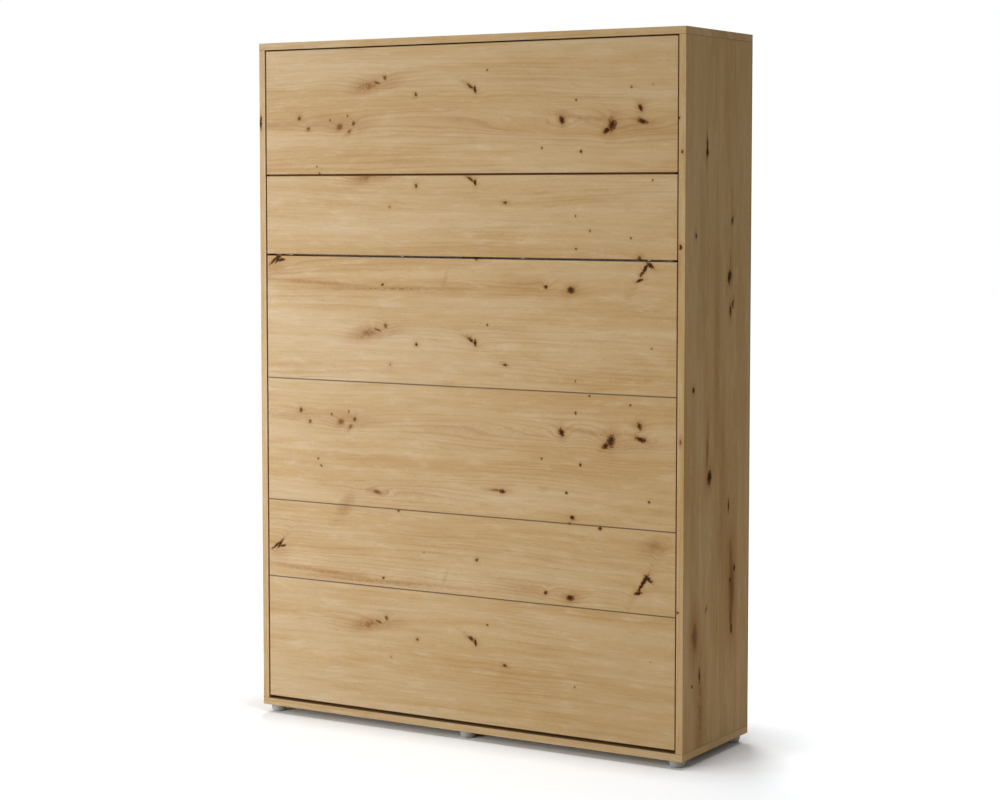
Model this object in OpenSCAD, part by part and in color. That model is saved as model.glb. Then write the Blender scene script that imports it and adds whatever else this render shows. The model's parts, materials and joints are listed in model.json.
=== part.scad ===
// Vertical wall bed: an oak-finished cabinet whose six-board front is the underside of a folding bed.
// X runs to the right, the front faces -Y and Z is up. The origin lies on the floor, under the middle
// of the cabinet. The bed is drawn closed. Lengths are in millimetres.

/* [Cabinet] */
// Outside width of the cabinet
cabinet_w = 1540; // [1536:2:1560]
// Height of the cabinet with its feet
cabinet_h = 2185; // [2180:5:2240]
// Outside depth of the cabinet
cabinet_d = 450; // [440:5:500]
// Thickness of the cabinet boards
board_t = 22; // [20:1:22]
// Height of the plastic feet
foot_h = 25; // [22:1:35]
// Diameter of the feet where they meet the bottom panel
foot_dia = 50; // [40:2:60]
// Height of the rails that are screwed to the wall
wall_rail_h = 120; // [100:10:160]

/* [Front] */
// Thickness of the front boards
front_t = 18; // [16:1:20]
// How far the front lies behind the front edges of the cabinet
front_inset = 2; // [1:0.5:4]
// Height of each of the two narrow boards
narrow_h = 251; // [245:1:260]
// Open gap above and below the leg board
leg_gap = 5; // [5:0.5:7]
// Width of the strips between the other boards
joint_gap = 2; // [2:0.5:4]
// Gap between the front and each side panel
side_gap = 4; // [3:0.5:5]
// Gap between the front and the top panel
top_gap = 4; // [3:0.5:6]
// Gap between the front and the bottom panel
bottom_gap = 10; // [10:1:16]

/* [Bed] */
// Width of the mattress
mattress_w = 1400; // [1380:10:1400]
// Length of the mattress
mattress_l = 2000; // [1960:10:2000]
// Thickness of the mattress
mattress_t = 180; // [140:10:200]
// Depth of the side rails of the bed
rail_depth = 102; // [90:2:120]
// Number of slat rows
slat_rows = 14; // [10:1:16]
// Width of a slat
slat_w = 68; // [53:1:70]

/* [Mechanism] */
// Distance of the main pivot behind the front face
pivot_setback = 65; // [60:1:68]
// Distance from the main pivot to both ends of a gas strut
strut_arm = 240; // [230:1:245]
// Diameter of the gas strut tubes
strut_dia = 18; // [15:1:20]

/* [Hidden] */
$fn = 48;
EPS = 1;

// Cabinet levels
side_in = cabinet_w / 2 - board_t;
front_edge = -cabinet_d / 2;
back_edge = cabinet_d / 2;
floor_top = foot_h + board_t;
roof_low = cabinet_h - board_t;

// Back panel: three sheets in a rebate, joined by two H-shaped strips
sheet_t = 3;
sheet_recess = 1.2;
sheet_grip = 8;
sheet_gap = 2;
sheet_back = back_edge - sheet_recess;
sheet_front = sheet_back - sheet_t;
sheet_low = floor_top - sheet_grip;
sheet_h = (roof_low - floor_top + 2 * sheet_grip - 2 * sheet_gap) / 3;
strip_w = 18;
strip_flange = 1;

// Rails that are screwed to the wall
rail_back = sheet_front;
rail_front = rail_back - board_t;
wall_rail_low = [floor_top, (floor_top + roof_low - wall_rail_h) / 2, roof_low - wall_rail_h];
wall_hole_dx = 1200;
wall_hole_r = 4;
bracket_arm = 60;
bracket_half = 25;
bracket_t = 3;

// Flat-pack fittings
cam_r = 7.5;
cam_t = 15;
cam_reach = 34;
cam_bolt_r = 3;
dowel_r = 4;
dowel_l = 22;
fit = 0.1;

// Front: board edges from the bottom up
front_y = front_edge + front_inset;
front_back = front_y + front_t;
front_half = side_in - side_gap;
front_low = floor_top + bottom_gap;
front_high = roof_low - top_gap;
wide_h = (front_high - front_low - 2 * leg_gap - 3 * joint_gap - 2 * narrow_h) / 4;
bottom_z = front_low;
narrow_z = bottom_z + wide_h + joint_gap;
centre_z = narrow_z + narrow_h + joint_gap;
upper_z = centre_z + wide_h + joint_gap;
leg_z = upper_z + wide_h + leg_gap;
top_z = leg_z + narrow_h + leg_gap;
strip_recess = 0.8;

// Bed frame, with depths measured back from the front face
rail_t = 16;
rail_in = mattress_w / 2 + 2;
rail_out = rail_in + rail_t;
rail_end = front_back + rail_depth;
frame_low = front_low + 2;
frame_high = front_low + mattress_l + 63;
end_rail_t = 18;
cross_t = 16;
cross_w = 90;
cross_back = front_back + cross_t;
ledge_t = 20;
ledge_w = 25;
ledge_back = cross_back + ledge_t;
beam_half = 20;
beam_wall = 2;
leg_relief = 2;

// Lower edges of the cross rails: over the three closed joints and either side of the leg opening
cross_z = concat(
    [for (z = [narrow_z, centre_z, upper_z]) z - (joint_gap + cross_w) / 2],
    [leg_z - leg_gap - cross_w - 3, top_z + 12]
);

// Mattress
mattress_low = frame_low + end_rail_t + 3;
mattress_front = ledge_back + 19;
mattress_back = mattress_front + mattress_t;

// Slats and their holders
slat_t = 8;
slat_front = ledge_back + 6;
slat_in = 14;
slat_out = rail_in - 14;
slat_margin = 55;
slat_step = (mattress_l - 2 * slat_margin) / (slat_rows - 1);
holder_t = 18;
holder_wall = 3;
holder_out = rail_in - 2;
holder_in = rail_in - 34;

// Retaining straps
strap_w = 40;
strap_t = 1.6;
strap_z = [mattress_low + mattress_l * 0.3, mattress_low + mattress_l * 0.7];

// Leg hinge: a piano hinge in the gap above the leg board
hinge_setback = 2.2;
hinge_y = front_y + hinge_setback;
hinge_z = top_z - leg_gap / 2;
knuckle_r = 2;
hinge_pin_r = 1;
leaf_t = 1;
leaf_start = 2.3;
knuckles = 37;
hinge_half = front_half - 9;
knuckle_pitch = 2 * hinge_half / knuckles;
knuckle_gap = 0.4;
glide_t = leg_gap / 2;
glide_r = 7;

// Main pivot: the open bed is as high as the leg board that stands under it
leg_drop = leg_gap / 2 + narrow_h + glide_t;
floor_clearance = 0.2;
pivot_y = front_y + pivot_setback;
pivot_z = pivot_setback - hinge_setback + leg_drop + floor_clearance;
pivot_at = [pivot_y, pivot_z];
pin_r = 8;
pin_hole_depth = 11;
bush_r = 11;
running = 0.05;
collar_r = 15;

// Plates either side of the gap between the bed and a side panel
cabinet_plate_t = 3;
bed_plate_t = 4;
cabinet_plate_x = side_in - cabinet_plate_t;
bed_plate_x = rail_out + bed_plate_t;
gap_mid = (side_in + rail_out) / 2;

// Screw places on both plates, measured from the pivot
cabinet_plate_screws = [[-32, -42], [48, -42], [-32, 70], [10, 120], [118, 120], [50, 230], [118, 185]];
bed_plate_screws = [[-28, 45], [36, 45], [-28, -60], [36, -60], [-28, -140], [36, -140], [25, -210]];

// Gas struts: both ends lie on one circle about the main pivot
strut_low_angle = -95;
strut_spread = 160;
function on_circle(angle) = [pivot_y + strut_arm * cos(angle), pivot_z + strut_arm * sin(angle)];
strut_bed_end = on_circle(strut_low_angle);
strut_cabinet_end = on_circle(strut_low_angle + strut_spread);
strut_short = 2 * strut_arm * sin((strut_spread - 90) / 2);
strut_run = strut_bed_end - strut_cabinet_end;
strut_tilt = atan2(-strut_run[0], strut_run[1]);
strut_r = strut_dia / 2;
tube_l = strut_short - 23;
rod_l = strut_short - 30;
rod_r = 4;
piston_r = strut_r - 1.5;
piston_t = 8;
gland_t = 12;
eye_r = 8;
eye_w = 10;
eye_neck = 5.2;
neck_r = 4.4;
tube_start = 14;
bore_start = 24;
stud_r = 4;
stud_head_r = 6.5;

// Leg linkage: a parallelogram that keeps the leg board upright
crank = [26, 45];
link_low = [pivot_y, pivot_z] + crank;
link_high = [hinge_y, hinge_z] + crank;
link_run = link_high - link_low;
link_l = norm(link_run);
link_tilt = atan2(-link_run[0], link_run[1]);
link_w = 14;
link_t = 4;
link_eye_r = 8;
link_pin_r = 5;
link_head_r = 7;
crank_base_h = 64;
crank_top = hinge_z - 6;
crank_back = front_back + 3;

// Closing stops
stop_z = mattress_low + mattress_l - 40;
stop_h = 50;
bumper_t = 8;
bumper_r = 7.5;

// Feet
foot_dx = cabinet_w / 2 - 35;
foot_dy = cabinet_d / 2 - 38;
foot_sole_r = foot_dia / 2 - 8;
screw_head_z = 9;

// Colours
oak = "burlywood";
inside_oak = "tan";
steel = "silver";
dark_steel = "dimgray";
plastic = "gray";

// ---------- shared shapes ----------

module block(low, high) {
    translate(low) cube(high - low);
}

module x_rod(x0, x1, at, r) {
    translate([x0, at[0], at[1]]) rotate([0, 90, 0]) cylinder(h = x1 - x0, r = r);
}

module y_rod(y0, y1, at, r) {
    translate([at[0], y1, at[1]]) rotate([90, 0, 0]) cylinder(h = y1 - y0, r = r);
}

module z_rod(z0, z1, at, r) {
    translate([at[0], at[1], z0]) cylinder(h = z1 - z0, r = r);
}

// A flat plate across X, with rounded corners
module x_plate(x0, x1, low, high, r) {
    size = high - low;
    translate([x0, low[0], low[1]]) rotate([90, 0, 90]) linear_extrude(x1 - x0) {
        translate([r, 0]) square([size[0] - 2 * r, size[1]]);
        translate([0, r]) square([size[0], size[1] - 2 * r]);
        for (u = [r, size[0] - r], v = [r, size[1] - r]) translate([u, v]) circle(r);
    }
}

module left_side() {
    mirror([1, 0, 0]) children();
}

module both_sides() {
    children();
    left_side() children();
}

// A countersunk wood screw, with its head's face at the origin, pointing along -Z
module wood_screw(length, shank_r = 2, head_r = 4) {
    head_h = head_r - shank_r;
    rotate_extrude() polygon([
        [0, 0], [head_r, 0], [head_r, -0.4], [shank_r, -head_h - 0.4],
        [shank_r, -length + 4], [0.4, -length], [0, -length]
    ]);
}

module countersink(depth, shank_r = 2.2, head_r = 4.1) {
    rotate_extrude() polygon([
        [0, EPS], [head_r, EPS], [head_r, -0.5], [shank_r, -head_r + shank_r - 0.5],
        [shank_r, -depth], [0, -depth]
    ]);
}

// ---------- flat-pack fittings: places and shapes ----------

// Places of the cam fittings: local +Z leaves the cam's face and local +X points along its bolt
module at_cams() {
    both_sides() {
        for (y = [front_edge + 60, back_edge - 90]) {
            translate([side_in, y, roof_low - cam_reach]) rotate([0, -90, 0]) children();
            translate([side_in, y, floor_top + cam_reach]) rotate([0, -90, 0]) rotate([0, 0, 180]) children();
        }
        for (z = wall_rail_low) translate([side_in - cam_reach, rail_front, z + wall_rail_h / 2])
            rotate([90, 0, 0]) children();
    }
}

module cam_disc() {
    difference() {
        translate([0, 0, -cam_t]) cylinder(h = cam_t, r = cam_r);
        translate([0, 0, -board_t / 2]) rotate([0, 90, 0]) cylinder(h = cam_r + EPS, r = cam_bolt_r + fit);
        for (turn = [0, 90]) rotate([0, 0, turn]) translate([-4, -0.6, -1.5]) cube([8, 1.2, 1.5 + EPS]);
    }
}

module cam_bolt() {
    translate([1, 0, -board_t / 2]) rotate([0, 90, 0]) cylinder(h = cam_reach + 10, r = cam_bolt_r);
}

module cam_cavity() {
    translate([0, 0, -cam_t - fit]) cylinder(h = cam_t + fit + EPS, r = cam_r + fit);
    translate([0, 0, -board_t / 2]) rotate([0, 90, 0]) cylinder(h = cam_reach + 12, r = cam_bolt_r + fit);
}

// Places of the dowels: the origin lies on the joint and local +Z points along the dowel
module at_dowels() {
    both_sides() {
        for (y = [front_edge + 110, back_edge - 140], z = [floor_top, roof_low])
            translate([side_in + board_t / 2, y, z]) children();
        for (z = wall_rail_low, dz = [-35, 35])
            translate([side_in, rail_front + board_t / 2, z + wall_rail_h / 2 + dz])
                rotate([0, 90, 0]) children();
    }
}

module dowel(grow = 0) {
    half = dowel_l / 2 + grow;
    translate([0, 0, -half]) cylinder(h = 2 * half, r = dowel_r + grow);
}

module fitting_cavities() {
    at_cams() cam_cavity();
    at_dowels() dowel(fit);
}

// ---------- cabinet ----------

module side_panel() {
    difference() {
        block([side_in, front_edge, floor_top], [cabinet_w / 2, back_edge, roof_low]);
        block([side_in - EPS, sheet_front, floor_top - EPS],
              [side_in + sheet_grip + fit, back_edge + EPS, roof_low + EPS]);
        x_rod(side_in - EPS, side_in + pin_hole_depth, [pivot_y, pivot_z], pin_r + 0.5);
        fitting_cavities();
    }
}

module side_panel_left() {
    color(oak) left_side() side_panel();
}

module side_panel_right() {
    color(oak) side_panel();
}

// A full-width panel from z0 up, with its rebate for the back on the inner side
module end_panel(z0, rebate_z) {
    half = side_in + sheet_grip + fit;
    difference() {
        block([-cabinet_w / 2, front_edge, z0], [cabinet_w / 2, back_edge, z0 + board_t]);
        block([-half, sheet_front, rebate_z], [half, back_edge + EPS, rebate_z + sheet_grip + fit + EPS]);
        fitting_cavities();
    }
}

module top_panel() {
    color(oak) end_panel(roof_low, roof_low - EPS);
}

module bottom_panel() {
    color(oak) end_panel(foot_h, floor_top - sheet_grip - fit);
}

function sheet_z(i) = sheet_low + i * (sheet_h + sheet_gap);

module wall_holes(y0, y1) {
    for (z = wall_rail_low, x = [-wall_hole_dx / 2, wall_hole_dx / 2])
        y_rod(y0, y1, [x, z + wall_rail_h / 2], wall_hole_r);
}

module back_sheet(i) {
    half = side_in + sheet_grip;
    color(inside_oak) difference() {
        block([-half, sheet_front, sheet_z(i)], [half, sheet_back, sheet_z(i) + sheet_h]);
        wall_holes(sheet_front - EPS, sheet_back + EPS);
    }
}

module back_sheet_lower() {
    back_sheet(0);
}

module back_sheet_middle() {
    back_sheet(1);
}

module back_sheet_upper() {
    back_sheet(2);
}

module back_joint_strips() {
    half = side_in - 1;
    color("white") for (i = [1, 2]) translate([0, 0, sheet_z(i) - sheet_gap / 2]) {
        block([-half, sheet_front, -sheet_gap / 2], [half, sheet_back, sheet_gap / 2]);
        block([-half, sheet_front - strip_flange, -strip_w / 2], [half, sheet_front, strip_w / 2]);
        block([-half, sheet_back, -strip_w / 2], [half, sheet_back + strip_flange, strip_w / 2]);
    }
}

module back_nail() {
    y_rod(sheet_back - 18, sheet_back, [0, 0], 0.8);
    y_rod(sheet_back, sheet_back + 1, [0, 0], 2.5);
}

module back_nails() {
    side_rows = 8;
    side_margin = 85;
    side_step = (roof_low - floor_top - 2 * side_margin) / (side_rows - 1);
    rail_columns = 5;
    rail_step = (2 * side_in - 240) / (rail_columns - 1);
    color(dark_steel) {
        both_sides() for (i = [0:side_rows - 1])
            translate([side_in + sheet_grip / 2, 0, floor_top + side_margin + i * side_step]) back_nail();
        for (z = wall_rail_low, i = [0:rail_columns - 1])
            translate([-side_in + 120 + i * rail_step, 0, z + wall_rail_h / 2 + 20]) back_nail();
    }
}

module wall_rail(i) {
    z = wall_rail_low[i];
    color(inside_oak) difference() {
        block([-side_in, rail_front, z], [side_in, rail_back, z + wall_rail_h]);
        wall_holes(rail_front - EPS, rail_back + EPS);
        fitting_cavities();
    }
}

module lower_wall_rail() {
    wall_rail(0);
}

module middle_wall_rail() {
    wall_rail(1);
}

module upper_wall_rail() {
    wall_rail(2);
}

// Places of the screws that hold the steel angles under the top panel, pointing up
module at_bracket_screws() {
    for (x = [-wall_hole_dx / 2, wall_hole_dx / 2], dx = [-12, 12])
        translate([x + dx, rail_front - bracket_arm + 15, roof_low - bracket_t]) rotate([180, 0, 0]) children();
}

// Steel angles under the top panel, which the upper wall screws pass through
module wall_brackets() {
    drop = wall_rail_h / 2 + bracket_half;
    color(steel) for (x = [-wall_hole_dx / 2, wall_hole_dx / 2]) difference() {
        union() {
            block([x - bracket_half, rail_front - bracket_t, roof_low - drop],
                  [x + bracket_half, rail_front, roof_low]);
            block([x - bracket_half, rail_front - bracket_arm, roof_low - bracket_t],
                  [x + bracket_half, rail_front - EPS, roof_low]);
        }
        wall_holes(rail_front - 2 * bracket_t, rail_front + EPS);
        at_bracket_screws() countersink(6);
    }
}

module cam_locks() {
    color(steel) at_cams() cam_disc();
}

module cam_bolts() {
    color(dark_steel) at_cams() cam_bolt();
}

module wood_dowels() {
    color("wheat") at_dowels() dowel();
}

// Stop blocks beside the mattress, behind the ends of the side rails
module stop_blocks() {
    front = rail_end + bumper_t;
    color(inside_oak) both_sides()
        block([rail_in + 2, front, stop_z], [side_in, front + 30, stop_z + stop_h]);
}

module closing_bumpers() {
    at = [(rail_in + rail_out) / 2 + 2, stop_z + stop_h / 2];
    color(dark_steel) both_sides() y_rod(rail_end + 0.3, rail_end + bumper_t, at, bumper_r);
}

// ---------- feet ----------

module at_feet(y) {
    for (x = [-foot_dx, 0, foot_dx]) translate([x, y, 0]) children();
}

// A domed plastic foot with a screw hole, rounded from its sole to its widest ring
module foot() {
    top_r = foot_dia / 2;
    rim_h = 6;
    steps = 8;
    rise = foot_h - rim_h;
    difference() {
        rotate_extrude() polygon(concat(
            [[0, 0]],
            [for (k = [0:steps]) let (a = 90 * k / steps)
                [foot_sole_r + (top_r - foot_sole_r) * sin(a), rise * (1 - cos(a))]],
            [[top_r, foot_h], [0, foot_h]]
        ));
        translate([0, 0, -EPS]) cylinder(h = screw_head_z + EPS, r = 6);
        cylinder(h = foot_h + EPS, r = 2.4);
    }
}

module front_feet() {
    color(plastic) at_feet(-foot_dy) foot();
}

module rear_feet() {
    color(plastic) at_feet(foot_dy) foot();
}

module foot_screws() {
    color(steel) for (y = [-foot_dy, foot_dy]) at_feet(y) {
        z_rod(screw_head_z - 2.5, screw_head_z, [0, 0], 5);
        z_rod(screw_head_z, foot_h + board_t - 6, [0, 0], 1.9);
    }
}

// ---------- main pivot ----------

module pivot_plate() {
    low = [-44, -54];
    difference() {
        union() {
            x_plate(cabinet_plate_x, side_in, pivot_at + low, pivot_at + [60, 96], 10);
            x_plate(cabinet_plate_x, side_in, pivot_at + [0, 60], pivot_at + [130, 242], 10);
            // Stud for the gas strut, with a head that keeps the strut's eye on it
            x_rod(gap_mid - 7, side_in - 0.5, strut_cabinet_end, stud_r);
            x_rod(gap_mid + 6, side_in - 0.5, strut_cabinet_end, stud_head_r);
            x_rod(gap_mid - 8, gap_mid - 6, strut_cabinet_end, stud_head_r);
            // Stud for the leg link
            x_rod(gap_mid - 4, side_in - 0.5, link_low, link_pin_r);
            x_rod(gap_mid + 3, side_in - 0.5, link_low, link_head_r);
            x_rod(gap_mid - 5, gap_mid - 3, link_low, link_head_r);
        }
        x_rod(cabinet_plate_x - EPS, side_in + EPS, pivot_at, pin_r + fit);
        for (at = cabinet_plate_screws) translate([cabinet_plate_x, pivot_y + at[0], pivot_z + at[1]])
            rotate([0, -90, 0]) countersink(6);
    }
}

module pivot_plate_left() {
    color(steel) left_side() pivot_plate();
}

module pivot_plate_right() {
    color(steel) pivot_plate();
}

module pivot_pins() {
    color(dark_steel) both_sides() {
        x_rod(rail_in + 1, side_in + pin_hole_depth - 1, pivot_at, pin_r);
        x_rod(bed_plate_x + 2, cabinet_plate_x, pivot_at, collar_r);
    }
}

// Screws of the pivot plates and of the steel angles
module plate_screws() {
    color(dark_steel) {
        both_sides() for (at = cabinet_plate_screws)
            translate([cabinet_plate_x, pivot_y + at[0], pivot_z + at[1]]) rotate([0, -90, 0]) wood_screw(18);
        at_bracket_screws() wood_screw(18);
    }
}

module bed_plate() {
    difference() {
        union() {
            x_plate(rail_out, bed_plate_x, pivot_at + [-42, -strut_arm - 12], pivot_at + [48, 60], 10);
            // Stud for the gas strut
            x_rod(rail_out + 0.5, gap_mid + 7, strut_bed_end, stud_r);
            x_rod(rail_out + 0.5, gap_mid - 6, strut_bed_end, stud_head_r);
            x_rod(gap_mid + 6, gap_mid + 8, strut_bed_end, stud_head_r);
        }
        x_rod(rail_out - EPS, bed_plate_x + EPS, pivot_at, bush_r + fit);
        for (at = bed_plate_screws) translate([bed_plate_x, pivot_y + at[0], pivot_z + at[1]])
            rotate([0, 90, 0]) countersink(6);
    }
}

module bed_plate_left() {
    color(steel) left_side() bed_plate();
}

module bed_plate_right() {
    color(steel) bed_plate();
}

module pivot_bushes() {
    color("ivory") both_sides() difference() {
        union() {
            x_rod(rail_in, bed_plate_x, pivot_at, bush_r);
            x_rod(bed_plate_x, bed_plate_x + 1.5, pivot_at, collar_r);
        }
        x_rod(rail_in - EPS, bed_plate_x + 3, pivot_at, pin_r + running);
    }
}

// ---------- bed ----------

module front_board(z0, height) {
    color(oak) block([-front_half, front_y, z0], [front_half, front_back, z0 + height]);
}

module front_board_bottom() {
    front_board(bottom_z, wide_h);
}

module front_board_narrow() {
    front_board(narrow_z, narrow_h);
}

module front_board_centre() {
    front_board(centre_z, wide_h);
}

module front_board_upper() {
    front_board(upper_z, wide_h);
}

module front_board_top() {
    front_board(top_z, wide_h);
}

// Grey strips that fill the narrow joints, set back a little from the face
module front_joint_strips() {
    color("darkgray") for (z = [narrow_z, centre_z, upper_z])
        block([-front_half, front_y + strip_recess, z - joint_gap], [front_half, front_back, z]);
}

module side_rail() {
    difference() {
        block([rail_in, front_back, frame_low], [rail_out, rail_end, frame_high]);
        block([rail_in - EPS, front_back - EPS, leg_z - leg_gap],
              [rail_out + EPS, front_back + leg_relief, top_z]);
        x_rod(rail_in - EPS, rail_out + EPS, pivot_at, bush_r + fit);
    }
}

module side_rail_left() {
    color(inside_oak) left_side() side_rail();
}

module side_rail_right() {
    color(inside_oak) side_rail();
}

module end_rail(z0) {
    color(inside_oak) block([-rail_in, front_back, z0], [rail_in, rail_end, z0 + end_rail_t]);
}

module head_rail() {
    end_rail(frame_low);
}

module foot_rail() {
    end_rail(frame_high - end_rail_t);
}

module cross_rails() {
    color(inside_oak) for (z = cross_z)
        block([-rail_in, front_back, z], [rail_in, cross_back, z + cross_w]);
}

module centre_beam() {
    low = frame_low + end_rail_t;
    high = frame_high - end_rail_t;
    inner = beam_half - beam_wall;
    color(dark_steel) difference() {
        block([-beam_half, cross_back, low], [beam_half, ledge_back, high]);
        block([-inner, cross_back + beam_wall, low - EPS], [inner, ledge_back - beam_wall, high + EPS]);
    }
}

module slat_ledges() {
    color(inside_oak) both_sides()
        block([rail_in - ledge_w, cross_back, frame_low + end_rail_t],
              [rail_in, ledge_back, frame_high - end_rail_t]);
}

module at_slats() {
    for (i = [0:slat_rows - 1]) translate([0, 0, mattress_low + slat_margin + i * slat_step]) children();
}

module slat() {
    block([slat_in, slat_front, -slat_w / 2], [slat_out, slat_front + slat_t, slat_w / 2]);
}

module slats() {
    color("wheat") at_slats() both_sides() slat();
}

// A slat pocket from x0 to x1, open towards the slat
module holder(x0, x1) {
    half = slat_w / 2 + holder_wall;
    block([x0, ledge_back, -half], [x1, ledge_back + holder_t, half]);
}

module slat_space() {
    grow = 0.15;
    block([slat_in - grow, slat_front - grow, -slat_w / 2 - grow],
          [slat_out + grow, slat_front + slat_t + grow, slat_w / 2 + grow]);
}

module slat_holders() {
    centre_half = slat_in + 26;
    color(dark_steel) at_slats() difference() {
        union() {
            both_sides() holder(holder_in, holder_out);
            holder(-centre_half, centre_half);
        }
        both_sides() slat_space();
    }
}

module mattress() {
    half = mattress_w / 2;
    color("white")
        block([-half, mattress_front, mattress_low], [half, mattress_back, mattress_low + mattress_l]);
}

// Straps across the mattress, held on the back edges of the side rails
module mattress_straps() {
    inner = mattress_w / 2 + 0.3;
    outer = inner + strap_t;
    color(dark_steel) for (z = strap_z) {
        back = mattress_back + 0.4;
        block([-outer, back, z - strap_w / 2], [outer, back + strap_t, z + strap_w / 2]);
        both_sides() {
            block([inner, rail_end, z - strap_w / 2], [outer, back + EPS, z + strap_w / 2]);
            block([inner, rail_end, z - strap_w / 2], [rail_out - 2, rail_end + strap_t, z + strap_w / 2]);
        }
    }
}

module board_screws() {
    color(steel) {
        for (z = cross_z, x = [-560, -200, 200, 560], dz = [18, cross_w - 18])
            translate([x, cross_back, z + dz]) rotate([-90, 0, 0]) wood_screw(cross_t + front_t - 5);
        both_sides() for (at = bed_plate_screws)
            translate([bed_plate_x, pivot_y + at[0], pivot_z + at[1]]) rotate([0, 90, 0]) wood_screw(16);
        both_sides() for (z = [frame_low + end_rail_t / 2, frame_high - end_rail_t / 2], y = [25, 75])
            translate([rail_out, front_back + y, z]) rotate([0, 90, 0]) wood_screw(50, 3, 4.6);
    }
}

// ---------- leg ----------

// One leaf of the piano hinge, above the axis; first is 0 for the outer set of knuckles, 1 for the other
module hinge_leaf(first) {
    bore_r = hinge_pin_r + running;
    at = [hinge_y, hinge_z];
    leaf_z = hinge_z + leg_gap / 2 - leaf_t;
    difference() {
        union() {
            block([-hinge_half, hinge_y + leaf_start, leaf_z],
                  [hinge_half, front_back - 0.5, leaf_z + leaf_t]);
            for (i = [first:2:knuckles - 1]) {
                x0 = -hinge_half + i * knuckle_pitch + knuckle_gap / 2;
                x1 = x0 + knuckle_pitch - knuckle_gap;
                x_rod(x0, x1, at, knuckle_r);
                block([x0, hinge_y, leaf_z], [x1, hinge_y + leaf_start + 0.2, leaf_z + leaf_t]);
            }
        }
        x_rod(-hinge_half - EPS, hinge_half + EPS, at, bore_r);
    }
}

module leg_hinge_fixed_leaf() {
    color(dark_steel) hinge_leaf(0);
}

module leg_hinge_moving_leaf() {
    color(dark_steel) translate([0, 0, 2 * hinge_z]) mirror([0, 0, 1]) hinge_leaf(1);
}

module leg_hinge_pin() {
    color(steel) x_rod(-hinge_half, hinge_half, [hinge_y, hinge_z], hinge_pin_r);
}

module leg_board() {
    front_board(leg_z, narrow_h);
}

module at_crank_screws() {
    for (dz = [12, crank_base_h / 2, crank_base_h - 12])
        translate([gap_mid + 3, crank_back, crank_top - dz]) rotate([-90, 0, 0]) children();
}

// A steel angle on the back of the leg board, with the stud that the link turns on
module leg_crank() {
    web_x = gap_mid - 9;
    inner = front_back - hinge_y;
    difference() {
        block([rail_out + 4, front_back, crank_top - crank_base_h], [side_in - 5, crank_back, crank_top]);
        at_crank_screws() countersink(6);
    }
    translate([web_x, hinge_y, hinge_z]) rotate([90, 0, 90]) linear_extrude(4) {
        polygon([
            [inner, -6 - crank_base_h], [inner, -6], [inner + 2.2, -2], [crank[0] - 8, crank[1]],
            [crank[0] + 8, crank[1]], [crank[0] + 8, 5], [inner + 10, -6 - crank_base_h]
        ]);
        translate(crank) circle(8);
    }
    x_rod(web_x + 2, gap_mid + 4, link_high, link_pin_r);
    x_rod(web_x + 2, gap_mid - 3, link_high, link_head_r);
    x_rod(gap_mid + 3, gap_mid + 5, link_high, link_head_r);
}

module leg_cranks() {
    color(dark_steel) both_sides() leg_crank();
}

module leg_screws() {
    color(steel) both_sides() at_crank_screws() wood_screw(17, 1.8, 3.4);
}

module leg_glides() {
    color(plastic) for (x = [-650, -220, 220, 650])
        z_rod(leg_z - glide_t, leg_z, [x, front_y + front_t / 2], glide_r);
}

module leg_link() {
    ends = [[0, 0], [0, link_l]];
    translate([gap_mid - link_t / 2, link_low[0], link_low[1]]) rotate([link_tilt, 0, 0])
        rotate([90, 0, 90]) linear_extrude(link_t) difference() {
            union() {
                translate([-link_w / 2, 0]) square([link_w, link_l]);
                for (end = ends) translate(end) circle(link_eye_r);
            }
            for (end = ends) translate(end) circle(link_pin_r + running);
        }
}

module leg_link_left() {
    color(steel) left_side() leg_link();
}

module leg_link_right() {
    color(steel) leg_link();
}

// ---------- gas struts ----------

// Local +Z points along the strut, from the given end
module along_strut(at, tilt) {
    translate([gap_mid, at[0], at[1]]) rotate([tilt, 0, 0]) children();
}

module strut_eye() {
    translate([-eye_w / 2, 0, 0]) rotate([0, 90, 0]) cylinder(h = eye_w, r = eye_r);
}

module strut_eye_bore() {
    translate([-eye_w, 0, 0]) rotate([0, 90, 0]) cylinder(h = 2 * eye_w, r = stud_r + running);
}

module gas_strut_tube() {
    along_strut(strut_cabinet_end, strut_tilt) difference() {
        union() {
            strut_eye();
            translate([0, 0, eye_neck]) cylinder(h = 12, r = neck_r);
            translate([0, 0, tube_start]) cylinder(h = tube_l - tube_start, r = strut_r);
        }
        strut_eye_bore();
        translate([0, 0, bore_start]) cylinder(h = tube_l - gland_t - bore_start, r = piston_r + fit);
        translate([0, 0, tube_l - gland_t - EPS]) cylinder(h = gland_t + 2 * EPS, r = rod_r + 0.08);
    }
}

module gas_strut_rod() {
    along_strut(strut_bed_end, strut_tilt + 180) difference() {
        union() {
            strut_eye();
            translate([0, 0, eye_neck]) cylinder(h = 8, r = neck_r);
            translate([0, 0, eye_neck + 6]) cylinder(h = rod_l - piston_t / 2 - eye_neck - 6, r = rod_r);
            translate([0, 0, rod_l - piston_t]) cylinder(h = piston_t, r = piston_r);
        }
        strut_eye_bore();
    }
}

module strut_tube_left() {
    color(dark_steel) left_side() gas_strut_tube();
}

module strut_tube_right() {
    color(dark_steel) gas_strut_tube();
}

module strut_rod_left() {
    color(steel) left_side() gas_strut_rod();
}

module strut_rod_right() {
    color(steel) gas_strut_rod();
}

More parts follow.
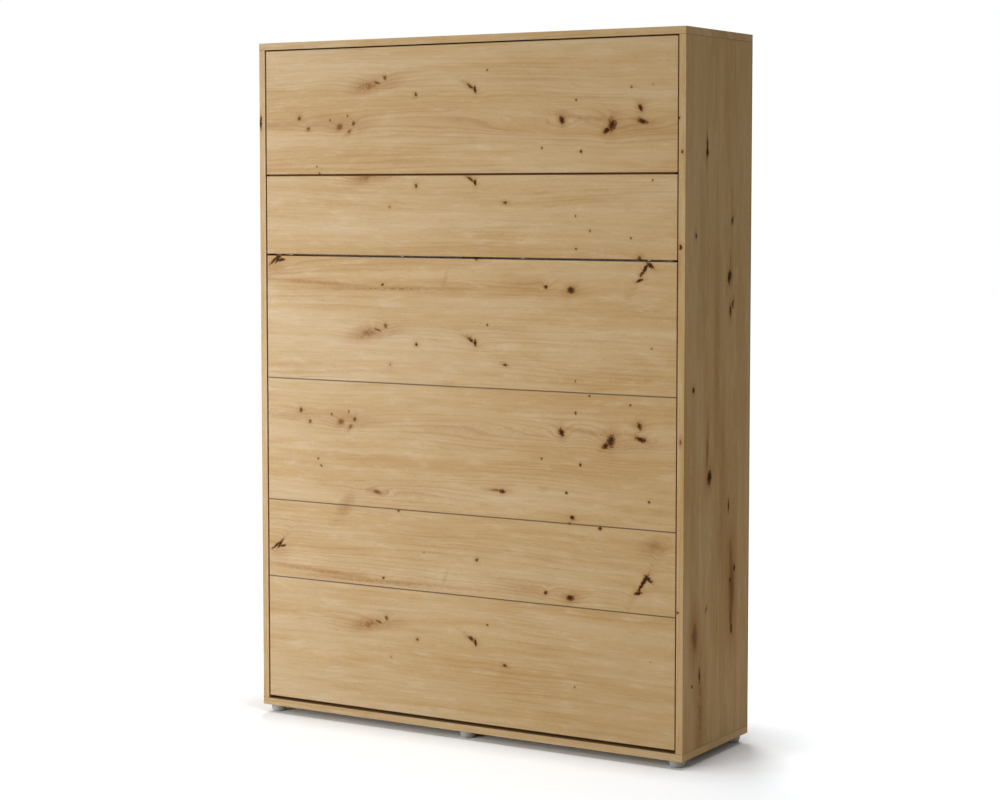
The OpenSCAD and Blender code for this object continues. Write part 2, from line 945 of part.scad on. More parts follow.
side_panel_left();
side_panel_right();
top_panel();
bottom_panel();
back_sheet_lower();
back_sheet_middle();
back_sheet_upper();
back_joint_strips();
back_nails();
lower_wall_rail();
middle_wall_rail();
upper_wall_rail();
wall_brackets();
cam_locks();
cam_bolts();
wood_dowels();
pivot_plate_left();
pivot_plate_right();
pivot_pins();
plate_screws();
stop_blocks();
closing_bumpers();
front_feet();
rear_feet();
foot_screws();
front_board_bottom();
front_board_narrow();
front_board_centre();
front_board_upper();
front_board_top();
front_joint_strips();
side_rail_left();
side_rail_right();
head_rail();
foot_rail();
cross_rails();
centre_beam();
slat_ledges();
slats();
slat_holders();
mattress();
mattress_straps();
bed_plate_left();
bed_plate_right();
pivot_bushes();
board_screws();
leg_hinge_fixed_leaf();
leg_hinge_pin();
leg_board();
leg_hinge_moving_leaf();
leg_cranks();
leg_glides();
leg_screws();
leg_link_left();
leg_link_right();
strut_tube_left();
strut_tube_right();
strut_rod_left();
strut_rod_right();
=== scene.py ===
"""Looks of the vertical wall bed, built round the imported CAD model."""

import json
import math

import bpy
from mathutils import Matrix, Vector


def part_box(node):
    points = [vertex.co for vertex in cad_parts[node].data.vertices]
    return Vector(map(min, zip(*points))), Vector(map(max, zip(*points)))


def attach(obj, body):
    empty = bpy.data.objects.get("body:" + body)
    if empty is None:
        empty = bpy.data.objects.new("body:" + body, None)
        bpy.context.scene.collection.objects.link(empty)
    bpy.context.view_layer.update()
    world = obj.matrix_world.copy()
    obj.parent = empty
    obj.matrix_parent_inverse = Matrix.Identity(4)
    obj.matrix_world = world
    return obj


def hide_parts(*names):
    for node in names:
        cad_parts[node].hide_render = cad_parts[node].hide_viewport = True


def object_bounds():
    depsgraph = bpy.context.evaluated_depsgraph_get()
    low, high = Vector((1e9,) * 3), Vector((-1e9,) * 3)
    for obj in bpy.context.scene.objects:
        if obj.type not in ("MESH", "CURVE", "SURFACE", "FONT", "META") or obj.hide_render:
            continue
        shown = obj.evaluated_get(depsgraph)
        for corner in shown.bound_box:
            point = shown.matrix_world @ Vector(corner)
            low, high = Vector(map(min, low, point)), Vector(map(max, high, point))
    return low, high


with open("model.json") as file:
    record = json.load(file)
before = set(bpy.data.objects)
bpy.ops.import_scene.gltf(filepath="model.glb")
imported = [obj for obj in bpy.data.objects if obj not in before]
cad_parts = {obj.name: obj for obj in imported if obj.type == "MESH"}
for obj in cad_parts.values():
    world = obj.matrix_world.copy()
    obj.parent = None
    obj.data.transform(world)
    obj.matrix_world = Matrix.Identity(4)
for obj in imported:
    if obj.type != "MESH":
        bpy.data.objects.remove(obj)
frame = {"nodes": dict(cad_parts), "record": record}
CAD_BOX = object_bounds()
NODES = frame["nodes"]
SCENE = bpy.context.scene


# ---------- node trees ----------

def srgb(r, g, b):
    """A colour given as 0 to 255 values on screen, as the linear RGBA that sockets take."""
    def line(c):
        c /= 255
        return c / 12.92 if c <= 0.04045 else ((c + 0.055) / 1.055) ** 2.4
    return (line(r), line(g), line(b), 1.0)


class Tree:
    """Short ways to add nodes to one node tree. Sockets and plain numbers both count as values."""

    def __init__(self, tree):
        self.tree = tree

    def put(self, value, socket):
        if isinstance(value, bpy.types.NodeSocket):
            self.tree.links.new(value, socket)
        elif value is not None:
            socket.default_value = value

    def node(self, kind, values=(), **props):
        made = self.tree.nodes.new("ShaderNode" + kind)
        for name, value in props.items():
            setattr(made, name, value)
        for key, value in dict(values).items():
            self.put(value, made.inputs[key])
        return made

    def math(self, op, a, b=None, c=None, clamp=False):
        made = self.node("Math", operation=op, use_clamp=clamp)
        for value, socket in zip((a, b, c), made.inputs):
            self.put(value, socket)
        return made.outputs[0]

    def vector(self, op, a, b=None):
        made = self.node("VectorMath", operation=op)
        self.put(a, made.inputs[0])
        self.put(b, made.inputs[1])
        return made.outputs["Value" if op == "LENGTH" else "Vector"]

    def xyz(self, x=0.0, y=0.0, z=0.0):
        return self.node("CombineXYZ", {"X": x, "Y": y, "Z": z}).outputs[0]

    def split(self, vector):
        return self.node("SeparateXYZ", {0: vector}).outputs

    def scaled(self, vector, x, y, z):
        """A vector with each of its axes stretched by its own number."""
        return self.vector("MULTIPLY", vector, (x, y, z))

    def noise(self, vector, scale=1.0, detail=2.0, roughness=0.5):
        return self.node("TexNoise", {"Vector": vector, "Scale": scale, "Detail": detail,
                                      "Roughness": roughness}).outputs["Fac"]

    def fade(self, value, low, high, at_low=0.0, at_high=1.0):
        """at_low below low, at_high above high, smooth between."""
        values = {"Value": value, "From Min": low, "From Max": high, "To Min": at_low, "To Max": at_high}
        return self.node("MapRange", values, interpolation_type="SMOOTHSTEP").outputs[0]

    def mix(self, factor, a, b):
        made = self.node("Mix", data_type="RGBA")
        self.put(factor, made.inputs[0])
        self.put(a, made.inputs[6])
        self.put(b, made.inputs[7])
        return made.outputs[2]

    def ramp(self, value, stops):
        made = self.node("ValToRGB", {0: value})
        points = made.color_ramp.elements
        while len(points) < len(stops):
            points.new(0.5)
        for point, (position, colour) in zip(points, stops):
            point.position, point.color = position, colour
        return made.outputs[0]

    def bump(self, height, strength, distance):
        return self.node("Bump", {"Height": height, "Strength": strength, "Distance": distance}).outputs[0]


def material(name, **fixed):
    """A new material with one Principled shader. fixed gives constant values of its sockets."""
    made = bpy.data.materials.new(name)
    made.use_nodes = True
    shader = made.node_tree.nodes["Principled BSDF"]
    for key, value in fixed.items():
        shader.inputs[key.replace("_", " ")].default_value = value
    return made, Tree(made.node_tree), shader


def place(t):
    """Where a point is on its object, in metres."""
    return t.node("TexCoord").outputs["Object"]


def facing(t):
    """Which way the surface faces on its object: x, y and z."""
    return t.split(t.node("TexCoord").outputs["Normal"])


def darker(colour, share):
    """A colour with each channel at a share of its value."""
    return tuple(share * c for c in colour[:3]) + (1.0,)


def group(name, inputs, outputs):
    """A new node group: its tree, the helper for it, what it is given and what it gives."""
    tree = bpy.data.node_groups.new(name, "ShaderNodeTree")
    kinds = {float: "NodeSocketFloat", Vector: "NodeSocketVector", tuple: "NodeSocketColor"}
    for direction, sockets in (("INPUT", inputs), ("OUTPUT", outputs)):
        for key, kind in sockets:
            tree.interface.new_socket(key, in_out=direction, socket_type=kinds[kind])
    source = tree.nodes.new("NodeGroupInput")
    target = tree.nodes.new("NodeGroupOutput")
    return tree, Tree(tree), source.outputs, target.inputs


# ---------- knotty oak decor ----------

RUNNING = [("Dark", float), ("Red", float), ("Bend", float), ("Near", float)]


def make_mark_group():
    """One mark in the grain. It adds to four running values: how dark the spot is, how red its halo, how far
    the grain bends and how near the mark is."""
    tree, t, given, out = group(
        "grain_mark",
        [("Place", Vector), ("Ragged", float), *RUNNING, ("Centre", Vector), ("Shape", Vector),
         ("Turn", float), ("Darkness", float), ("Redness", float), ("Lift", float)],
        RUNNING)
    turned = t.node("VectorRotate", {"Vector": t.vector("SUBTRACT", given["Place"], given["Centre"]),
                                     "Angle": given["Turn"]}, rotation_type="Z_AXIS").outputs[0]
    sized = t.vector("MULTIPLY", turned, given["Shape"])
    edge = t.math("MULTIPLY_ADD", given["Ragged"], 3.4, t.vector("LENGTH", sized))
    core = t.math("MULTIPLY", t.fade(edge, 0.15, 1.45, 1.0, 0.0), given["Darkness"])
    t.put(t.math("MAXIMUM", core, given["Dark"]), out["Dark"])
    wide = t.vector("LENGTH", t.scaled(sized, 0.30, 0.36, 0.0))
    rim = t.math("MULTIPLY_ADD", given["Ragged"], 0.9, wide)
    halo = t.math("MULTIPLY", t.fade(rim, 0.1, 1.1, 1.0, 0.0), given["Redness"])
    t.put(t.math("MAXIMUM", halo, given["Red"]), out["Red"])
    far = t.vector("LENGTH", t.scaled(sized, 0.22, 0.45, 0.0))
    hill = t.math("EXPONENT", t.math("MULTIPLY", t.math("MULTIPLY", far, far), -1.0))
    t.put(t.math("MULTIPLY_ADD", hill, given["Lift"], given["Bend"]), out["Bend"])
    lifted = t.math("MULTIPLY", t.math("ABSOLUTE", given["Lift"]), 60.0, clamp=True)
    t.put(t.math("MAXIMUM", t.math("MULTIPLY", hill, lifted), given["Near"]), out["Near"])
    return tree


def make_grain_group():
    """Bare oak decor from a place on the sheet (metres, x along the grain), bent and marked."""
    tree, t, given, out = group(
        "oak_grain", [("Place", Vector), ("Ragged", float), *RUNNING],
        [("Color", tuple), ("Roughness", float), ("Height", float)])
    x, y, z = t.split(given["Place"])

    def stretched(along_scale, across_scale, across, shift=0.0):
        return t.xyz(t.math("MULTIPLY", x, along_scale), t.math("MULTIPLY", across, across_scale),
                     t.math("ADD", z, shift))

    slow = t.math("MULTIPLY", t.noise(stretched(0.9, 3.2, y), 1.0, 2.0), 0.070)
    quick = t.math("MULTIPLY", t.noise(stretched(5.0, 16.0, y, 3.0), 1.0, 2.0), 0.010)
    wiggle = t.math("MULTIPLY", t.noise(stretched(30.0, 60.0, y, 9.0), 1.0, 1.0), 0.0028)
    drift = t.math("ADD", slow, t.math("ADD", quick, wiggle))
    across = t.math("ADD", t.math("ADD", y, given["Bend"]), drift)

    band = t.noise(stretched(0.9, 11.0, across), 1.0, 3.0, 0.55)
    patch = t.noise(stretched(2.2, 9.0, across, 7.0), 1.0, 2.0)
    streak = t.noise(stretched(1.8, 60.0, across), 1.0, 4.0, 0.6)
    fibre = t.noise(stretched(14.0, 620.0, across), 1.0, 3.0, 0.55)
    pore = t.noise(stretched(60.0, 1500.0, across), 1.0, 1.0)
    uneven = t.math("MULTIPLY", t.noise(stretched(0.8, 14.0, across, 5.0), 1.0, 2.0), 5.0)
    ring = t.math("FRACT", t.math("MULTIPLY_ADD", across, 70.0, uneven))
    late = t.math("MULTIPLY", t.fade(ring, 0.45, 0.90), t.fade(ring, 0.92, 1.0, 1.0, 0.0))
    shown = t.fade(t.math("MULTIPLY_ADD", given["Near"], 0.40, patch), 0.38, 0.75, 0.12, 1.0)
    late = t.math("MULTIPLY", t.math("MULTIPLY", late, shown),
                  t.fade(given["Ragged"], -0.25, 0.05, 0.45, 1.0))

    tone = t.ramp(t.math("MULTIPLY_ADD", streak, 0.35, t.math("MULTIPLY", band, 0.65)), [
        (0.30, srgb(193, 157, 106)), (0.42, srgb(199, 165, 114)), (0.53, srgb(206, 175, 128)),
        (0.68, srgb(212, 186, 145))])
    tone = t.mix(t.fade(patch, 0.48, 0.74, 0.0, 0.25), tone, srgb(193, 153, 98))
    mottle = t.noise(stretched(9.0, 42.0, across, 2.0), 1.0, 4.0, 0.65)
    tone = t.mix(t.fade(mottle, 0.50, 0.72, 0.0, 0.40), tone, srgb(220, 198, 162))
    tone = t.mix(t.fade(mottle, 0.28, 0.46, 0.30, 0.0), tone, srgb(186, 146, 94))
    tone = t.mix(t.math("MULTIPLY", given["Near"], 0.22, clamp=True), tone, srgb(186, 142, 90))
    tone = t.mix(t.math("MULTIPLY", late, 0.30), tone, srgb(160, 116, 66))
    tone = t.mix(t.math("MULTIPLY", t.fade(fibre, 0.35, 0.7), 0.14), tone, srgb(150, 112, 68))
    tone = t.mix(t.math("MULTIPLY", t.fade(pore, 0.63, 0.72), 0.35), tone, srgb(120, 86, 52))
    broken = t.math("MULTIPLY", given["Red"], t.fade(given["Ragged"], -0.20, 0.15, 0.25, 1.0))
    tone = t.mix(t.math("MULTIPLY", broken, 0.75, clamp=True), tone, srgb(156, 104, 46))
    fleck = t.math("MULTIPLY_ADD", given["Ragged"], 1.8, given["Red"])
    tone = t.mix(t.fade(fleck, 0.78, 1.10, 0.0, 0.6), tone, srgb(122, 74, 30))
    tone = t.mix(t.fade(given["Dark"], 0.05, 0.45, 0.0, 0.8), tone, srgb(124, 78, 36))
    tone = t.mix(t.fade(given["Dark"], 0.30, 0.90, 0.0, 0.95), tone, srgb(60, 32, 12))
    t.put(tone, out["Color"])
    rough = t.math("MULTIPLY_ADD", fibre, 0.10, t.math("MULTIPLY_ADD", given["Dark"], 0.25, 0.40))
    t.put(rough, out["Roughness"])
    t.put(t.noise(t.scaled(given["Place"], 30.0, 900.0, 1.0), 1.0, 2.0), out["Height"])
    return tree


MARK_GROUP = make_mark_group()
GRAIN_GROUP = make_grain_group()

# Marks of the sheet that the front boards are cut from: place along and across the grain, half length and
# half width (metres), turn (degrees), darkness, redness, and how far the grain bends round it (metres)
SHEET = [
    (-0.715, 1.488, 0.026, 0.005, 38, 1.0, 0.3, 0.000),
    (-0.700, 1.492, 0.020, 0.005, 52, 1.0, 0.3, 0.010),
    (-0.690, 1.487, 0.016, 0.005, 8, 0.9, 0.3, 0.000),
    (-0.708, 1.468, 0.020, 0.014, 0, 0.0, 0.55, 0.006),
    (0.636, 1.478, 0.032, 0.006, 57, 1.1, 0.2, 0.016),
    (0.655, 1.492, 0.016, 0.007, -35, 1.1, 0.4, 0.000),
    (0.620, 1.446, 0.013, 0.005, 18, 1.0, 0.5, 0.010),
    (0.672, 1.589, 0.022, 0.016, 20, 0.2, 0.75, 0.006),
    (0.055, 1.501, 0.005, 0.006, 90, 0.8, 0.6, 0.003),
    (-0.140, 1.510, 0.003, 0.003, 0, 0.8, 0.2, 0.000),
    (-0.520, 1.416, 0.130, 0.004, -3, 0.0, 0.80, 0.006),
    (-0.270, 1.404, 0.150, 0.004, 1, 0.0, 0.85, 0.004),
    (-0.062, 1.434, 0.016, 0.004, 70, 0.0, 0.40, 0.000),
    (-0.294, 1.416, 0.006, 0.005, 20, 0.9, 0.3, 0.003),
    (0.389, 1.412, 0.014, 0.010, 10, 0.85, 0.85, 0.016),
    (0.302, 1.420, 0.007, 0.006, 40, 0.8, 0.6, 0.012),
    (0.230, 1.424, 0.030, 0.012, 0, 0.0, 0.40, 0.016),
    (-0.350, 1.262, 0.032, 0.013, 12, 0.15, 0.95, 0.012),
    (-0.312, 1.272, 0.014, 0.004, -22, 0.55, 0.9, 0.010),
    (-0.282, 1.286, 0.006, 0.008, 25, 0.55, 0.9, 0.008),
    (-0.166, 1.231, 0.005, 0.006, 30, 0.75, 0.6, 0.006),
    (0.034, 1.252, 0.014, 0.005, -30, 0.80, 0.8, 0.012),
    (0.050, 1.242, 0.005, 0.011, 10, 1.1, 0.5, 0.006),
    (0.157, 1.180, 0.008, 0.005, -10, 0.75, 0.7, 0.005),
    (0.094, 1.300, 0.004, 0.004, 0, 0.6, 0.2, 0.000),
    (0.662, 1.245, 0.004, 0.004, 0, 0.4, 0.1, 0.000),
    (0.404, 1.140, 0.003, 0.004, 0, 0.6, 0.3, 0.000),
    (-0.265, 1.165, 0.004, 0.005, 0, 0.4, 0.3, 0.000),
    (0.453, 1.097, 0.004, 0.004, 0, 0.8, 0.2, 0.000),
    (0.591, 1.075, 0.004, 0.004, 0, 0.6, 0.2, 0.000),
    (0.405, 1.042, 0.004, 0.005, 20, 0.7, 0.2, 0.000),
    (0.622, 1.014, 0.008, 0.012, 25, 0.9, 0.7, 0.012),
    (0.628, 0.975, 0.018, 0.008, -12, 1.0, 0.85, 0.014),
    (-0.612, 1.004, 0.007, 0.009, -25, 0.65, 0.7, 0.008),
    (-0.578, 0.969, 0.007, 0.007, 0, 0.60, 0.6, 0.005),
    (-0.455, 0.974, 0.012, 0.010, 20, 0.42, 1.0, 0.014),
    (-0.402, 0.984, 0.006, 0.008, -20, 0.60, 0.9, 0.012),
    (-0.418, 0.960, 0.010, 0.006, 40, 0.40, 0.9, 0.006),
    (-0.425, 1.008, 0.004, 0.006, 0, 0.50, 0.4, 0.000),
    (-0.492, 0.996, 0.004, 0.005, 0, 0.6, 0.5, 0.000),
    (0.357, 0.982, 0.009, 0.014, 15, 0.95, 0.8, 0.016),
    (0.526, 0.966, 0.014, 0.022, -14, 0.9, 0.8, 0.022),
    (0.508, 0.950, 0.013, 0.009, 30, 1.1, 0.9, 0.000),
    (0.440, 0.988, 0.060, 0.004, -6, 0.0, 0.75, 0.000),
    (0.180, 0.962, 0.095, 0.014, 0, 0.0, 0.0, 0.030),
    (-0.020, 0.975, 0.060, 0.016, 0, 0.0, 0.10, -0.024),
    (0.287, 0.900, 0.004, 0.004, 0, 0.9, 0.2, 0.000),
    (0.422, 0.888, 0.005, 0.005, 30, 0.8, 0.3, 0.000),
    (0.148, 0.790, 0.012, 0.008, 0, 1.0, 0.4, 0.008),
    (0.128, 0.792, 0.026, 0.004, 0, 0.4, 0.9, 0.000),
    (0.374, 0.800, 0.005, 0.005, 0, 0.9, 0.2, 0.000),
    (0.290, 0.806, 0.010, 0.005, 0, 0.0, 0.5, 0.000),
    (0.655, 0.790, 0.004, 0.004, 0, 0.8, 0.2, 0.000),
    (-0.545, 0.850, 0.004, 0.004, 0, 0.7, 0.2, 0.000),
    (-0.533, 0.828, 0.006, 0.004, -30, 0.7, 0.2, 0.000),
    (-0.316, 0.757, 0.018, 0.006, -6, 0.50, 0.9, 0.012),
    (-0.230, 0.768, 0.060, 0.012, 0, 0.0, 0.15, -0.016),
    (0.394, 0.726, 0.008, 0.007, -20, 1.0, 0.5, 0.005),
    (0.385, 0.708, 0.005, 0.005, 0, 0.6, 0.3, 0.000),
    (-0.440, 0.705, 0.022, 0.012, 50, 0.0, 0.75, 0.006),
    (0.490, 0.700, 0.006, 0.006, 0, 0.8, 0.3, 0.000),
    (-0.235, 0.703, 0.006, 0.004, 0, 0.8, 0.3, 0.000),
    (-0.430, 0.982, 0.050, 0.015, 0, 0.0, 0.55, 0.008),
    (-0.650, 0.985, 0.080, 0.007, 0, 0.0, 0.50, 0.000),
    (0.600, 0.955, 0.050, 0.012, 0, 0.0, 0.50, 0.006),
    (-0.290, 1.266, 0.045, 0.012, 12, 0.0, 0.55, 0.000),
]
SHEET_REPEAT = 0.931    # the sheet's pattern comes again this far up
# The front lies this far before the middle of the cabinet. The figure runs on height plus depth.
FRONT_OUT = 0.223

# Marks of the right side's sheet, in the same columns: the first two are the height, and the depth plus half
# the cabinet's width
SIDE_SHEET = [
    (1.835, 0.687, 0.040, 0.004, 0, 1.0, 0.5, 0.006),
    (1.822, 0.687, 0.018, 0.006, 0, 1.0, 0.3, 0.000),
    (1.620, 0.862, 0.014, 0.008, 20, 0.8, 0.7, 0.008),
    (1.645, 0.858, 0.040, 0.004, 0, 0.1, 0.7, 0.000),
    (1.578, 0.618, 0.009, 0.007, 0, 0.9, 0.4, 0.004),
    (1.452, 0.845, 0.022, 0.013, 10, 1.0, 0.6, 0.014),
    (1.495, 0.850, 0.040, 0.004, 0, 0.3, 0.7, 0.000),
    (1.368, 0.868, 0.014, 0.007, 15, 0.8, 0.6, 0.012),
    (1.350, 0.852, 0.020, 0.008, 0, 0.8, 0.8, 0.010),
    (1.124, 0.606, 0.010, 0.008, 0, 1.0, 0.4, 0.004),
    (0.855, 0.715, 0.022, 0.015, 25, 1.1, 0.7, 0.016),
    (0.930, 0.700, 0.060, 0.008, 3, 0.3, 0.85, 0.004),
    (0.753, 0.847, 0.022, 0.005, 0, 1.0, 0.4, 0.006),
    (0.558, 0.890, 0.010, 0.006, 0, 1.0, 0.3, 0.003),
    (0.525, 0.862, 0.009, 0.005, 0, 0.9, 0.3, 0.000),
    (0.410, 0.868, 0.045, 0.010, 0, 0.4, 0.95, 0.012),
    (0.500, 0.872, 0.095, 0.022, 0, 0.32, 1.0, 0.008),
    (0.600, 0.865, 0.050, 0.016, 0, 0.25, 0.9, 0.000),
    (0.160, 0.660, 0.100, 0.018, 0, 0.15, 0.9, 0.004),
    (1.200, 0.760, 0.180, 0.012, 0, 0.0, 0.55, 0.010),
    (0.780, 0.800, 0.150, 0.014, 0, 0.0, 0.50, -0.010),
    (0.375, 0.872, 0.020, 0.008, 0, 0.7, 0.7, 0.000),
    (0.460, 0.700, 0.014, 0.003, 30, 0.8, 0.2, 0.000),
    (0.385, 0.622, 0.045, 0.020, 0, 0.24, 1.0, 0.010),
    (0.266, 0.655, 0.026, 0.006, 0, 0.7, 0.8, 0.006),
    (0.240, 0.606, 0.005, 0.004, 0, 0.9, 0.2, 0.000),
    (1.545, 0.530, 0.008, 0.005, 0, 0.9, 0.8, 0.003),
    (1.823, 0.535, 0.007, 0.004, 0, 0.8, 0.4, 0.000),
    (1.920, 0.526, 0.005, 0.003, 0, 0.8, 0.4, 0.000),
    (1.495, 0.527, 0.030, 0.006, 0, 0.0, 0.6, 0.000),
    (0.975, 0.535, 0.010, 0.005, 0, 0.5, 0.8, 0.000),
    (0.470, 0.528, 0.006, 0.004, 0, 0.8, 0.4, 0.000),
]

DECOR_SPECULAR = 0.06   # the printed decor is almost matt
# painted shade in the rims beside gaps and joints, and along a side panel's rear edge
RIM_SHADE_BROWN = srgb(84, 56, 30)
# painted shade on the board edges that are seen in the gaps
EDGE_SHADE_BROWN = srgb(120, 74, 30)
BANDING_PALE = srgb(226, 196, 150)
# painted shade on the faces that look into the cabinet
INNER_SHADE_BROWN = srgb(132, 84, 34)


def oak(name, grain, marks=(), seed=0.0, lines=(), edge=0.0, lighter=0.0, inner=0.0):
    """Oak decor. grain names what runs along the grain: x on boards across the width, z on upright ones.
    lines are painted shade in rims beside joints and gaps: axis, where the board ends on it, width (negative
    when the board is on the lower side); edge paints shade on the board's edge faces, seen in the gaps;
    lighter pales the banding on the ends; inner (1 above, -1 below) names the face that looks into the
    cabinet, which gets painted shade."""
    made, t, shader = material(name, Specular_IOR_Level=DECOR_SPECULAR)
    x, y, z = t.split(place(t))
    along, across = (x, t.math("ADD", z, y)) if grain == "x" else (z, t.math("ADD", y, x))
    at = t.xyz(along, across, seed)
    fine = t.noise(at, 190.0, 3.0, 0.65)
    coarse = t.noise(at, 45.0, 2.0, 0.5)
    ragged = t.math("SUBTRACT", t.math("MULTIPLY_ADD", fine, 0.7, t.math("MULTIPLY", coarse, 0.3)), 0.5)
    running = {"Dark": 0.0, "Red": 0.0, "Bend": 0.0, "Near": 0.0}
    shaky = t.math("MULTIPLY_ADD", t.math("SUBTRACT", coarse, 0.5), 0.008, across)
    flat = t.xyz(along, shaky, 0.0)
    for u, v, length, width, turn, dark, red, lift in marks:
        mark = t.node("Group", node_tree=MARK_GROUP)
        values = {"Place": flat, "Ragged": ragged, "Centre": (u, v, 0),
                  "Shape": (1 / length, 1 / width, 0), "Turn": -math.radians(turn),
                  "Darkness": dark, "Redness": red, "Lift": lift, **running}
        for key, value in values.items():
            t.put(value, mark.inputs[key])
        running = {key: mark.outputs[key] for key in running}
    bare = t.node("Group", node_tree=GRAIN_GROUP)
    for key, value in {"Place": at, "Ragged": ragged, **running}.items():
        t.put(value, bare.inputs[key])
    colour = bare.outputs["Color"]
    # painted shade: a darker rim beside each joint and gap
    for axis, end, width in lines:
        from_end = t.math("DIVIDE", t.math("SUBTRACT", (x, y, z)[axis], end), width)
        colour = t.mix(t.fade(from_end, 0.3, 1.0, 0.6, 0.0), colour, RIM_SHADE_BROWN)
    turned = facing(t)
    # painted shade on the edge faces, which are seen in the gaps
    if edge:
        outwards = t.math("MAXIMUM", t.math("ABSOLUTE", turned[0]), t.math("ABSOLUTE", turned[2]))
        colour = t.mix(t.fade(outwards, 0.75, 0.95, 0.0, edge), colour, EDGE_SHADE_BROWN)
    # painted shade on the face that looks into the cabinet, seen through the gaps
    if inner:
        inwards = t.math("MULTIPLY", turned[2], inner)
        colour = t.mix(t.fade(inwards, 0.75, 0.95, 0.0, 0.6), colour, INNER_SHADE_BROWN)
    if lighter:
        sideways = t.math("ABSOLUTE", turned[0])
        colour = t.mix(t.fade(sideways, 0.7, 0.9, 0.0, lighter), colour, BANDING_PALE)
    t.put(colour, shader.inputs["Base Color"])
    t.put(bare.outputs["Roughness"], shader.inputs["Roughness"])
    t.put(t.bump(bare.outputs["Height"], 0.35, 0.0004), shader.inputs["Normal"])
    return made


def cut_marks(low, high, shift=0.0):
    """The sheet's marks that show between two heights on a board whose sheet is raised by shift."""
    found = []
    for repeat in (-2, -1, 0, 1, 2):
        for mark in SHEET:
            height = mark[1] + shift + repeat * SHEET_REPEAT
            reach = max(mark[3], 0.004) + 0.012
            if low - reach < height < high + reach:
                found.append((mark[0], height - FRONT_OUT, *mark[2:]))
    return found


# ---------- boards ----------

def give(mat, *names):
    """A material, alone, for CAD nodes."""
    for name in names:
        mesh = NODES[name].data
        mesh.materials.clear()
        mesh.materials.append(mat)


def rounded(names, width):
    """Small rounded edges on CAD nodes, as edge banding has."""
    for name in names:
        o = NODES[name]
        weld = o.modifiers.new("weld", "WELD")
        weld.merge_threshold = 0.00001
        bevel = o.modifiers.new("edges", "BEVEL")
        bevel.width, bevel.segments = width, 2
        bevel.limit_method, bevel.angle_limit = "ANGLE", math.radians(40)
        normals = o.modifiers.new("normals", "WEIGHTED_NORMAL")
        normals.keep_sharp = False


# The front boards, and the marks that each one gets from the heights it is cut from
FRONT = {
    "front_board_top": cut_marks(1.763, 2.012, 0.938 - SHEET_REPEAT) + cut_marks(2.012, 2.159, 0.776),
    "leg_board": cut_marks(1.507, 1.758, 0.494),
    "front_board_upper": cut_marks(1.106, 1.502),
    "front_board_centre": cut_marks(0.708, 1.104),
    "front_board_narrow": cut_marks(0.455, 0.706),
    "front_board_bottom": cut_marks(0.20, 0.453),
}
OPEN_RIM = 0.0024       # width of the painted shade beside an open gap
JOINT_RIM = 0.0018      # beside a closed joint
SIDE_RIM = 0.0022       # at both ends of a side panel
BACK_RIM = 0.0070       # and along its rear edge
BOARD_BEVEL = 0.0008
FRONT_SEED = 0.37       # how far the figure moves on from one front board to the next
OPEN_BELOW = ("front_board_top", "leg_board", "front_board_bottom")
OPEN_ABOVE = ("front_board_top", "leg_board", "front_board_upper")
for number, (name, marks) in enumerate(FRONT.items()):
    low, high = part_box(name)
    rims = [(0, high[0], -OPEN_RIM), (2, low[2], OPEN_RIM if name in OPEN_BELOW else JOINT_RIM),
            (2, high[2], -OPEN_RIM if name in OPEN_ABOVE else -JOINT_RIM)]
    give(oak("oak_" + name, "x", marks, FRONT_SEED * number, rims, edge=0.65), name)
low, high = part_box("side_panel_right")
SIDE_LINES = [(2, low[2], SIDE_RIM), (2, high[2], -SIDE_RIM), (1, high[1], -BACK_RIM)]
give(oak("oak_side_right", "z", SIDE_SHEET, seed=3.1, lines=SIDE_LINES), "side_panel_right")
# the left side is cut from the same sheet, less the marks on the right side's front edge
WIDTH = CAD_BOX[1][0] - CAD_BOX[0][0]
LEFT_SHEET = [(u, v - WIDTH, *rest) for u, v, *rest in SIDE_SHEET if v > 0.56]
LEFT_SHEET.append((1.928, -0.990, 0.024, 0.005, 0, 1.0, 0.6, 0.000))    # seen on the left front edge
give(oak("oak_side_left", "z", LEFT_SHEET, seed=4.3, lines=SIDE_LINES), "side_panel_left")
give(oak("oak_top", "x", seed=5.2, inner=-1.0), "top_panel")
give(oak("oak_bottom", "x", seed=6.4, lighter=0.4, inner=1.0), "bottom_panel")
rounded([*FRONT, "side_panel_left", "side_panel_right", "top_panel", "bottom_panel"], BOARD_BEVEL)


# ---------- timber inside, plastics, metals ----------

def printed_oak(t, at, ragged):
    """The colour of the oak decor without marks, broken up by a noise."""
    return t.node("Group", {"Place": at, "Ragged": t.math("SUBTRACT", ragged, 0.5)},
                  node_tree=GRAIN_GROUP).outputs["Color"]


def melamine(name, grain):
    """Faced board of the bed's inner frame: a softer print of the same oak, fine grain in the relief."""
    made, t, shader = material(name, Specular_IOR_Level=0.4)
    x, y, z = t.split(place(t))
    along = {"x": x, "z": z}[grain]
    across = {"x": t.math("ADD", z, y), "z": t.math("ADD", x, y)}[grain]
    fine = t.noise(t.scaled(t.xyz(along, across), 9.0, 420.0, 0.0), 1.0, 3.0)
    cloud = t.noise(place(t), 3.5, 3.0)
    tone = t.mix(fine, srgb(200, 170, 128), srgb(216, 190, 150))
    tone = t.mix(t.fade(cloud, 0.35, 0.65, 0.0, 0.4), tone, srgb(192, 160, 116))
    figure = printed_oak(t, t.xyz(along, across, 31.0), fine)
    t.put(t.mix(0.65, tone, figure), shader.inputs["Base Color"])
    t.put(t.math("MULTIPLY_ADD", fine, 0.2, 0.38), shader.inputs["Roughness"])
    t.put(t.bump(fine, 0.4, 0.0005), shader.inputs["Normal"])
    return made


